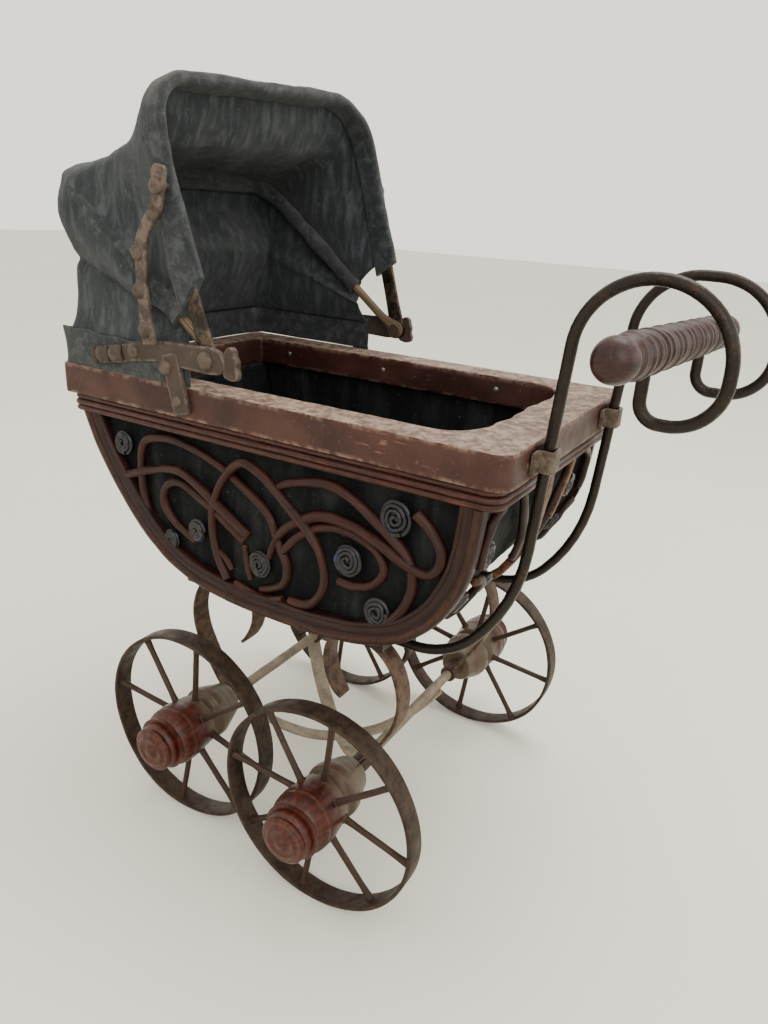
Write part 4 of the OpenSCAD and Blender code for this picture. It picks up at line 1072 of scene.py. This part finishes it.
grip.lathe(profile, (171.8, 7, 308.7), axis, 40, 2, rough=0.1)
build("handle_grip", grip, GRIP, angle=60)


# ---- hood
FRONT_N = np.array([math.cos(FRONT_LEAN), 0, math.sin(FRONT_LEAN)])
MID_N = np.array([math.cos(MID_LEAN), 0, math.sin(MID_LEAN)])
LEG_N, ARC_N, TOP_N = 30, 14, 56


def bow_outline(half, height, r_near, r_far, low, low_far=None):
    """(y, h) along a bow's U, from the near foot over the top to the far foot."""
    out = [(-half, low + (height - r_near - low) * t / LEG_N) for t in range(LEG_N)]
    for a in np.radians(np.arange(ARC_N) * 90 / ARC_N):
        out.append((-half + r_near - r_near * math.cos(a), height - r_near + r_near * math.sin(a)))
    out += [(-half + r_near + (2 * half - r_near - r_far) * t / TOP_N, height) for t in range(TOP_N)]
    for a in np.radians(np.arange(ARC_N) * 90 / ARC_N):
        out.append((half - r_far + r_far * math.sin(a), height - r_far + r_far * math.cos(a)))
    end = low if low_far is None else low_far
    out += [(half, height - r_far - (height - r_far - end) * t / LEG_N) for t in range(LEG_N + 1)]
    return np.array(out)


def bow_path(outline, lean, off=0.0):
    y, h = outline.T
    return np.stack([PIVOT_X + RACK * y - h * math.sin(lean) + off * math.cos(lean), y,
                     PIVOT_Z + h * math.cos(lean) + off * math.sin(lean)], 1)


def front_path(outline, off=0.0):
    """The front bow stands taller on the far side, and its near leg is bent."""
    y, h = outline.T
    h = h * (1 + 0.035 * y / BOW_Y)
    bend = -3.5 * np.sin(np.pi * np.clip(h / 132, 0, 1)) * np.clip(-y / BOW_Y, 0, 1)
    return bow_path(np.stack([y, h], 1), FRONT_LEAN, off + bend)


# front bow: flat strap, bare at the foot
strap = Shape()
line = front_path(bow_outline(83.95, 134.85, 24, 24, 3))
wide = np.ones((len(line), 2))
foot = [1.16, 1.14, 1.1, 1.05, 1.02, 1.0]
wide[:6, 0], wide[-6:, 0] = foot, foot[::-1]
strap.sweep(line, rounded(8.8, 2.2, 0.7, 3), up=FRONT_N, scale=wide, seed=61, rough=0.1, rough_size=10)
for s in (-1, 1):
    strap.lathe([(2.2, -1.1), (5.6, -1.1), (5.9, -0.5, 1), (5.9, 0.5, 1), (5.6, 1.1), (2.2, 1.1)],
                (PIVOT_X + s * RACK * 84, s * 83.95, PIVOT_Z), (0, s, 0), 32, 62 + s, rough=0.12, hole=True)
build("bow_front", strap, ROD_IRON, "hood_front")

hem = Shape()
line = front_path(bow_outline(83.5, 134.4, 21, 30, 39, 40))
n = len(line)
along = np.linspace(0, 1, n)
wide = np.stack([1 + 0.05 * np.sin(34 * along) + 0.3 * np.clip(1 - along / 0.16, 0, 1)
                 + 0.1 * np.clip((along - 0.9) / 0.1, 0, 1),
                 1 + 0.08 * np.sin(51 * along + 1) + 0.1 * np.sin(23 * along)], 1)
hem.sweep(line, rounded(14, 6.0, 2.5, 5), up=FRONT_N, scale=wide, seed=63, rough=0.38, rough_size=9)
v = hem.v[0].reshape(n, -1, 3)
across = ((v - line[:, None, :]) * FRONT_N).sum(2) / 8.0
down = np.array([math.sin(FRONT_LEAN), 0, -math.cos(FRONT_LEAN)])
for count, reach, drop in ((np.arange(n), 15.0, 8.5), (np.arange(n)[::-1], 12.0, 3.5)):
    tail = np.clip(1 - count / reach, 0, 1) ** 1.5
    v += down * (np.clip(0.6 - across, 0, 1.8) * drop * tail[:, None])[:, :, None]
build("bow_front_hem", hem, HOOD_TRIM, "hood_front", angle=80)

# middle bow: a dowel, flattened at the foot, inside a cloth sleeve
dowel = Shape()
for s in (-1, 1):
    h = np.array([-5.0, -4.4, -2.5, 0, 3, 6, 9, 12, 16, 25, 40, 60])
    y = np.interp(h, [0, 8, 14, 60], [MID_FOOT_Y, MID_FOOT_Y, MID_Y, MID_Y])
    line = bow_path(np.stack([s * y, h], 1), MID_LEAN)
    side = np.interp(h, [-5, -4.4, -2.5, 0, 3, 6, 9, 12], [0.7, 1.3, 2.0, 2.25, 2.0, 1.5, 1.15, 1.0])
    deep = np.interp(h, [-5, 3, 8, 13], [0.42, 0.44, 0.5, 1.0])
    dowel.sweep(line, circle(2.6, 16), up=MID_N, scale=np.stack([side, deep], 1), seed=65 + s, rough=0.1)
build("bow_mid", dowel, PALE_WOOD, "hood_mid", angle=50)

sleeve = Shape()
line = bow_path(bow_outline(MID_Y, MID_LEN, 18, 18, 28, 40), MID_LEAN)
n = len(line)
along = np.arange(n, dtype=float)
fat = 1 + 0.05 * np.sin(along / 3.3) + 0.05 * np.sin(along / 1.7 + 1)
fat[:5] *= [1.22, 1.14, 1.0, 0.95, 0.97]
fat[-5:] *= [0.97, 0.95, 1.0, 1.14, 1.22]
sleeve.sweep(line, circle(4.6, 22), scale=fat, seed=66, rough=0.35, rough_size=5)
build("bow_mid_sleeve", sleeve, HOOD_TRIM, "hood_mid", angle=80)


def around_hood(x_a, x_b, half, r, leg, arc, top):
    """Plan line round the hood end of the rim, from the near foot at x_a past x_b to the far foot."""
    turn = np.radians(np.linspace(0, 90, arc + 1)[:-1])
    out = [(x, -half) for x in np.linspace(x_a, x_b + r, leg + 1)[:-1]]
    out += [(x_b + r - r * math.sin(a), -half + r - r * math.cos(a)) for a in turn]
    out += [(x_b, y) for y in np.linspace(-half + r, half - r, top + 1)[:-1]]
    out += [(x_b + r - r * math.cos(a), half - r + r * math.sin(a)) for a in turn]
    return np.array(out + [(x, half) for x in np.linspace(x_b + r, x_a, leg + 1)])


def into_hood(outline, across, upward):
    """Inward directions along a bow's outline, and how level each stretch lies, from 0 on the legs to 1."""
    turn = unit(np.gradient(outline, axis=0))
    in_h = -turn[:, 0]
    return np.stack([-in_h * across, turn[:, 1], in_h * upward], 1), np.clip(-in_h, 0, 1)[:, None]


def in_frame(x, z):
    return ((x + X_SHIFT) * MM, 0.0, z * MM)


def cover(node, a, b, inward, depth, ts, seed, wrinkle, size, bodies, centre, half_span):
    """Cloth from curve a to curve b, pushed inwards by depth; it is not bound to the two bodies."""
    t = ts[None, :, None]
    grid = a[:, None, :] * (1 - t) + b[:, None, :] * t + inward[:, None, :] * depth[:, :, None]
    edge = np.clip(np.sin(np.pi * ts) * 4, 0.1, 1)[None, :]
    sheet = cloth(grid, 1.1, seed, wrinkle, size, edge=edge)
    (cx, cz), (dx, dz) = centre, half_span
    return build(node, sheet, HOOD, angle=180,
                 blend=(*bodies, in_frame(cx - dx, cz - dz), in_frame(cx + dx, cz + dz)))


# cloth from the middle bow to the front bow
mid = bow_outline(MID_Y + 3.6, MID_LEN + 3.0, 17, 17, 38, 40)
front = bow_outline(BOW_Y + 0.2, FRONT_LEN + 0.2, 22, 31, 41, 42)
lean = (MID_LEAN + FRONT_LEAN) / 2
inward, level = into_hood(mid, math.sin(lean), math.cos(lean))
ts = np.linspace(0, 1, 34)
on_top = level ** 1.5
sag = np.interp(ts, [0, 0.1, 0.25, 0.5, 0.7, 0.85, 0.95, 1], [0, 1.5, 6, 14, 18.5, 12, 3.5, 0])[None, :]
side_sag = 6.0 * np.sin(np.pi * ts)[None, :]
depth = sag * on_top + side_sag * (1 - on_top)
row = np.arange(len(mid))[:, None]
ends = np.sin(np.pi * ts)[None, :]
ripple = 0.9 * np.sin(row / 3.1 + 5 * ts[None, :]) + 0.6 * np.sin(row / 1.9 - 3 * ts[None, :])
depth = depth + ripple * ends
halfway = math.radians(34)
front_cover = cover("hood_cover_front", bow_path(mid, MID_LEAN), front_path(front, -5.0), inward, depth, ts,
                    71, 1.0, 20, ("hood_mid", "hood_front"),
                    (PIVOT_X - 128 * math.sin(halfway), PIVOT_Z + 128 * math.cos(halfway)),
                    (39.6 * math.cos(halfway), 39.6 * math.sin(halfway)))

# cloth from the rim's skirt to the middle bow
mid = bow_outline(MID_Y + 3.4, MID_LEN + 2.6, 16, 16, 36, 42)
base = around_hood(-46.0, -139.4, 83.4, 11.0, LEG_N, ARC_N, TOP_N)
base = np.stack([base[:, 0], base[:, 1], np.full(len(base), 285.5)], 1)
inward, level = into_hood(mid, 0.951, 0.309)
ts = np.linspace(0, 1, 46)
on_back = level ** 1.2
back = np.interp(ts, [0, 0.08, 0.3, 0.47, 0.53, 0.6, 0.68, 0.8, 0.92, 1],
                 [0, 4, 11, 15, 15, 9, 3, -2.5, -2, 0])[None, :]
row = np.arange(len(mid))
crease = np.exp(-((ts - 0.52) / 0.045) ** 2)[None, :]
puff = np.exp(-((ts - 0.76) / 0.14) ** 2)[None, :]
side_in = 4.6 * np.sin(np.pi * np.clip(ts * 1.15, 0, 1))[None, :] + 2.4 * crease - 3.4 * puff
depth = back * on_back + side_in * (1 - on_back)
ends = np.sin(np.pi * ts)[None, :]
ripple = 0.8 * np.sin(row / 2.7)[:, None] + 0.5 * np.sin(row / 1.4 + 1)[:, None]
depth = depth + ripple * ends
rise = math.radians(19)
rear_cover = cover("hood_cover_rear", base, bow_path(mid, MID_LEAN), inward, depth, ts, 73, 1.1, 22,
                   ("carriage", "hood_mid"),
                   (PIVOT_X - 100 * math.cos(rise), PIVOT_Z + 100 * math.sin(rise)),
                   (37.0 * math.sin(rise), 37.0 * math.cos(rise)))

# band of cloth standing on the rim round the hood end
edge_line = around_hood(-44.5, -139.7, 84.7, 5.0, 43, 6, 63)
row = np.arange(len(edge_line))
ts = np.linspace(0, 1, 12)
out = unit(np.stack([np.gradient(edge_line[:, 1]), -np.gradient(edge_line[:, 0])], 1))
grid = np.zeros((len(edge_line), 12, 3))
bulge = 0.7 * np.sin(row / 3.4)[:, None] * np.sin(np.pi * ts)[None, :] - 1.1 * (ts ** 3)[None, :]
grid[:, :, :2] = edge_line[:, None, :] + out[:, None, :] * bulge[:, :, None]
top = 286.6 + 0.8 * np.sin(row / 5.0) + 0.5 * np.sin(row / 1.7)
grid[:, :, 2] = SKIRT_FOOT + (top[:, None] - SKIRT_FOOT) * ts[None, :]
skirt = build("hood_skirt", cloth(grid, 1.2, 75, 0.35, 9), HOOD_TRIM, angle=180)

# ---- hood irons
PLATE_Y, SCRAP_Y = 85.7, 83.9  # inner faces of the plates and of the ragged scrap behind them
STAY_Y, STAY_TOP = 92.0, (-50.5, 361.2)
BAR = [(-114, 271.2), (-104, 271.6), (-97, 273.0), (-90, 273.6), (-84, 275.4), (-76, 276.4), (-66, 278),
       (-50, 277.2), (-30, 276.5), (-21, 277.5), (-18, 283), (-21, 289), (-28, 290.2), (-40, 289.6),
       (-60, 289), (-72, 287.6), (-80, 285.2), (-86, 284.6), (-92, 282.6), (-98, 282.4), (-105, 280.2),
       (-113, 279.4)]
lean_tab = math.radians(14)


def tab_point(x, z):
    c, s = math.cos(lean_tab), math.sin(lean_tab)
    return (-55 + x * c - z * s, 282 + x * s + z * c)


for side, s in SIDES:
    plate = Shape()
    plate.plate(fillet(BAR, 2.2, 3), s * PLATE_Y, s * 2.0, 81 + s, rough=0.3)
    tab = [tab_point(*q) for q in [(-5.4, -30), (5.4, -30), (5.6, -12), (5.2, 1.5), (-5.2, 1.5), (-5.5, -14)]]
    plate.plate(fillet(tab, 1.6, 3), s * PLATE_Y, s * 2.5, 84 + s, rough=0.16)
    ragged = [(-20, 276.4), (-15, 275.2), (-11.4, 276.0), (-10.6, 279), (-11.8, 281.6), (-11.0, 284.6),
              (-12.8, 287.2), (-13.2, 290.6), (-16.2, 292), (-18.4, 290.2), (-20, 287)]
    plate.plate(fillet(ragged, 0.8, 2), s * SCRAP_Y, s * 3.4, 87 + s, rough=0.7)
    for i, (x, z) in enumerate([(-110.4, 275.4), (-100.6, 277.4), (-90.4, 279.2)]):
        crimp = [(x + 0.9, s * 87.9, z - 4.6), (x + 0.3, s * 88.3, z - 2), (x, s * 88.5, z),
                 (x, s * 88.3, z + 2.2), (x + 0.2, s * 87.9, z + 4.2)]
        plate.sweep(crimp, circle(1.5, 8), seed=i, rough=0.25, rough_size=3)
    build(f"hood_plate_{side}", plate, PLATE_IRON, angle=50)

rivets = Shape()
for s in (-1, 1):
    for seed, x, y, z, r in ((90, -105.4, 87.7, 276.6, 4.3), (91, -95.4, 87.7, 278.4, 4.3),
                             (92, -80.5, 87.7, 281.2, 3.6), (94, -57.6, 88.2, 276.4, 4.2)):
        rivets.dome((x, s * y, z), (0, s, 0), r, 2.2, seed + s, 0.35)
    rivets.dome((-50.6, s * 88.1, 259.6), (0, s, 0), 3.0, 1.4, 97 + s, 0.1)
build("hood_rivets", rivets, PLATE_IRON, angle=60)

bolts = Shape()
for s in (-1, 1):
    bolt_x = PIVOT_X + s * RACK * 88
    seat = (bolt_x, s * 87.9, PIVOT_Z)
    bolts.dome((bolt_x, s * 87.8, PIVOT_Z), (0, s, 0), 4.9, 2.5, 101 + s, 0.25)
    bolts.lathe([(2.0, -10), (2.0, 0)], seat, (0, s, 0), 16)
    bolts.lathe([(0.02, -10), (4, -10), (4, -8.3), (2, -8.3)], seat, (0, s, 0), 20)
build("bow_bolts", bolts, PLATE_IRON, angle=60)

STAY = [(-48.5, 370.4), STAY_TOP, (-53.5, 352), (-62.5, 342), (-66, 332), (-66.5, 316), (-65, 300),
        (-63.5, 287.5)]
EARS = [(-67.6, 331), (-67.8, 313), (-65.6, 294)]
pins = Shape()
for side, s in SIDES:
    stay = Shape()
    top = [(x + 2.5 * s * min(max((z - 342) / 19, 0), 1), z) for x, z in STAY]
    line = xz(smooth(top, 6), s * STAY_Y)
    t = np.linspace(0, 1, len(line))
    deep = np.interp(t, [0, 0.05, 0.14, 0.25, 0.4, 0.55, 0.75, 0.93, 1],
                     [0.75, 1.25, 1.3, 0.95, 0.95, 1.05, 0.95, 1.25, 1.2])
    thick = 1 + 0.08 * np.sin(17 * t)
    stay.sweep(line, rounded(2.9, 6.8, 0.9, 3), up=(0, 1, 0), scale=np.stack([thick, deep], 1), seed=105 + s,
               rough=0.2, rough_size=7)
    for i, (x, z) in enumerate(EARS):
        stay.lathe([(0.02, -1.3), (4.4, -1.3), (4.8, -0.7, 1), (4.8, 0.7, 1), (4.4, 1.3), (0.02, 1.3)],
                   (x, s * (STAY_Y - 0.1), z), (0, s, 0), 26, 108 + i, rough=0.45)
    build(f"stay_{side}", stay, PLATE_IRON, f"stay_arm_{side}", angle=55)
    heads = Shape()
    for i, (x, z) in enumerate(EARS):
        heads.dome((x, s * (STAY_Y + 1.2), z), (0, s, 0), 3.7, 2.4, 112 + i, 0.3)
    build(f"stay_rivets_{side}", heads, PLATE_IRON, f"stay_arm_{side}", angle=60)
    pin_x = STAY_TOP[0] + 2.5 * s
    pins.dome((pin_x, s * (STAY_Y + 1.5), STAY_TOP[1]), (0, s, 0), 4.0, 2.3, 117 + s, 0.25)
    pins.lathe([(2.0, -8.5), (2.0, 0)], (pin_x, s * (STAY_Y + 1.6), STAY_TOP[1]), (0, s, 0), 16)
build("stay_pins", pins, PLATE_IRON, "hood_front", angle=60)

# ---- looks of the two CAD parts shown as they are
for name, mat in (("base_board", BASE_WOOD), ("spring_bolts", SPRING_IRON)):
    ob = bpy.data.objects[name]
    ob.data.materials.clear()
    ob.data.materials.append(mat)

# ---- stage, light, camera
p = Paint("floor_paint")
color = p.mix(p.band(p.noise(3.0, 3, 0.5), 0.3, 0.7), (222, 220, 208), scaled((222, 220, 208), 0.97))
mesh = bpy.data.meshes.new("floor")
mesh.from_pydata([(-6, -6, 0), (6, -6, 0), (6, 6, 0), (-6, 6, 0)], [], [(0, 1, 2, 3)])
mesh.materials.append(p.done(color, 0.75, depth=1.0))
floor = bpy.data.objects.new("floor", mesh)
bpy.context.scene.collection.objects.link(floor)
floor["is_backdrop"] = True

world = bpy.data.worlds.new("studio")
bpy.context.scene.world = world
world.use_nodes = True
world.node_tree.nodes["Background"].inputs["Color"].default_value = srgb(238, 235, 224)
world.node_tree.nodes["Background"].inputs["Strength"].default_value = 2.0


def lamp(name, place, target, size, watts, color=(1, 1, 1)):
    data = bpy.data.lights.new(name, "AREA")
    data.shape, data.size, data.energy, data.color = "DISK", size, watts, color
    ob = bpy.data.objects.new(name, data)
    bpy.context.scene.collection.objects.link(ob)
    ob.location = place
    aim = Vector(target) - Vector(place)
    ob.rotation_euler = aim.to_track_quat("-Z", "Y").to_euler()
    ob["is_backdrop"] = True


lamp("key", (0.15, 0.35, 1.45), (0, 0, 0.2), 0.9, 13, (1.0, 0.985, 0.95))
lamp("front", (0.75, -1.1, 0.95), (0, 0, 0.18), 1.1, 10, (1.0, 0.99, 0.97))
lamp("side", (1.4, 0.3, 0.7), (0, 0, 0.2), 1.0, 4, (0.97, 0.98, 1.0))

camera = bpy.data.cameras.new("camera")
camera.sensor_fit, camera.sensor_width, camera.lens = "AUTO", 36.0, 27.43
camera.clip_start, camera.clip_end = 0.01, 50
eye = bpy.data.objects.new("camera", camera)
bpy.context.scene.collection.objects.link(eye)
right = Vector((0.85562933, 0.51457609, 0.05576651))
down = Vector((0.23286592, -0.28648845, -0.92935345))
forward = Vector((-0.4622466, 0.80816818, -0.36495515))
turned = Matrix((right, -down, -forward)).transposed().to_4x4()
turned.translation = (0.20285, -0.3722, 0.3587)
eye.matrix_world = turned
bpy.context.scene.camera = eye

low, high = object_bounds()
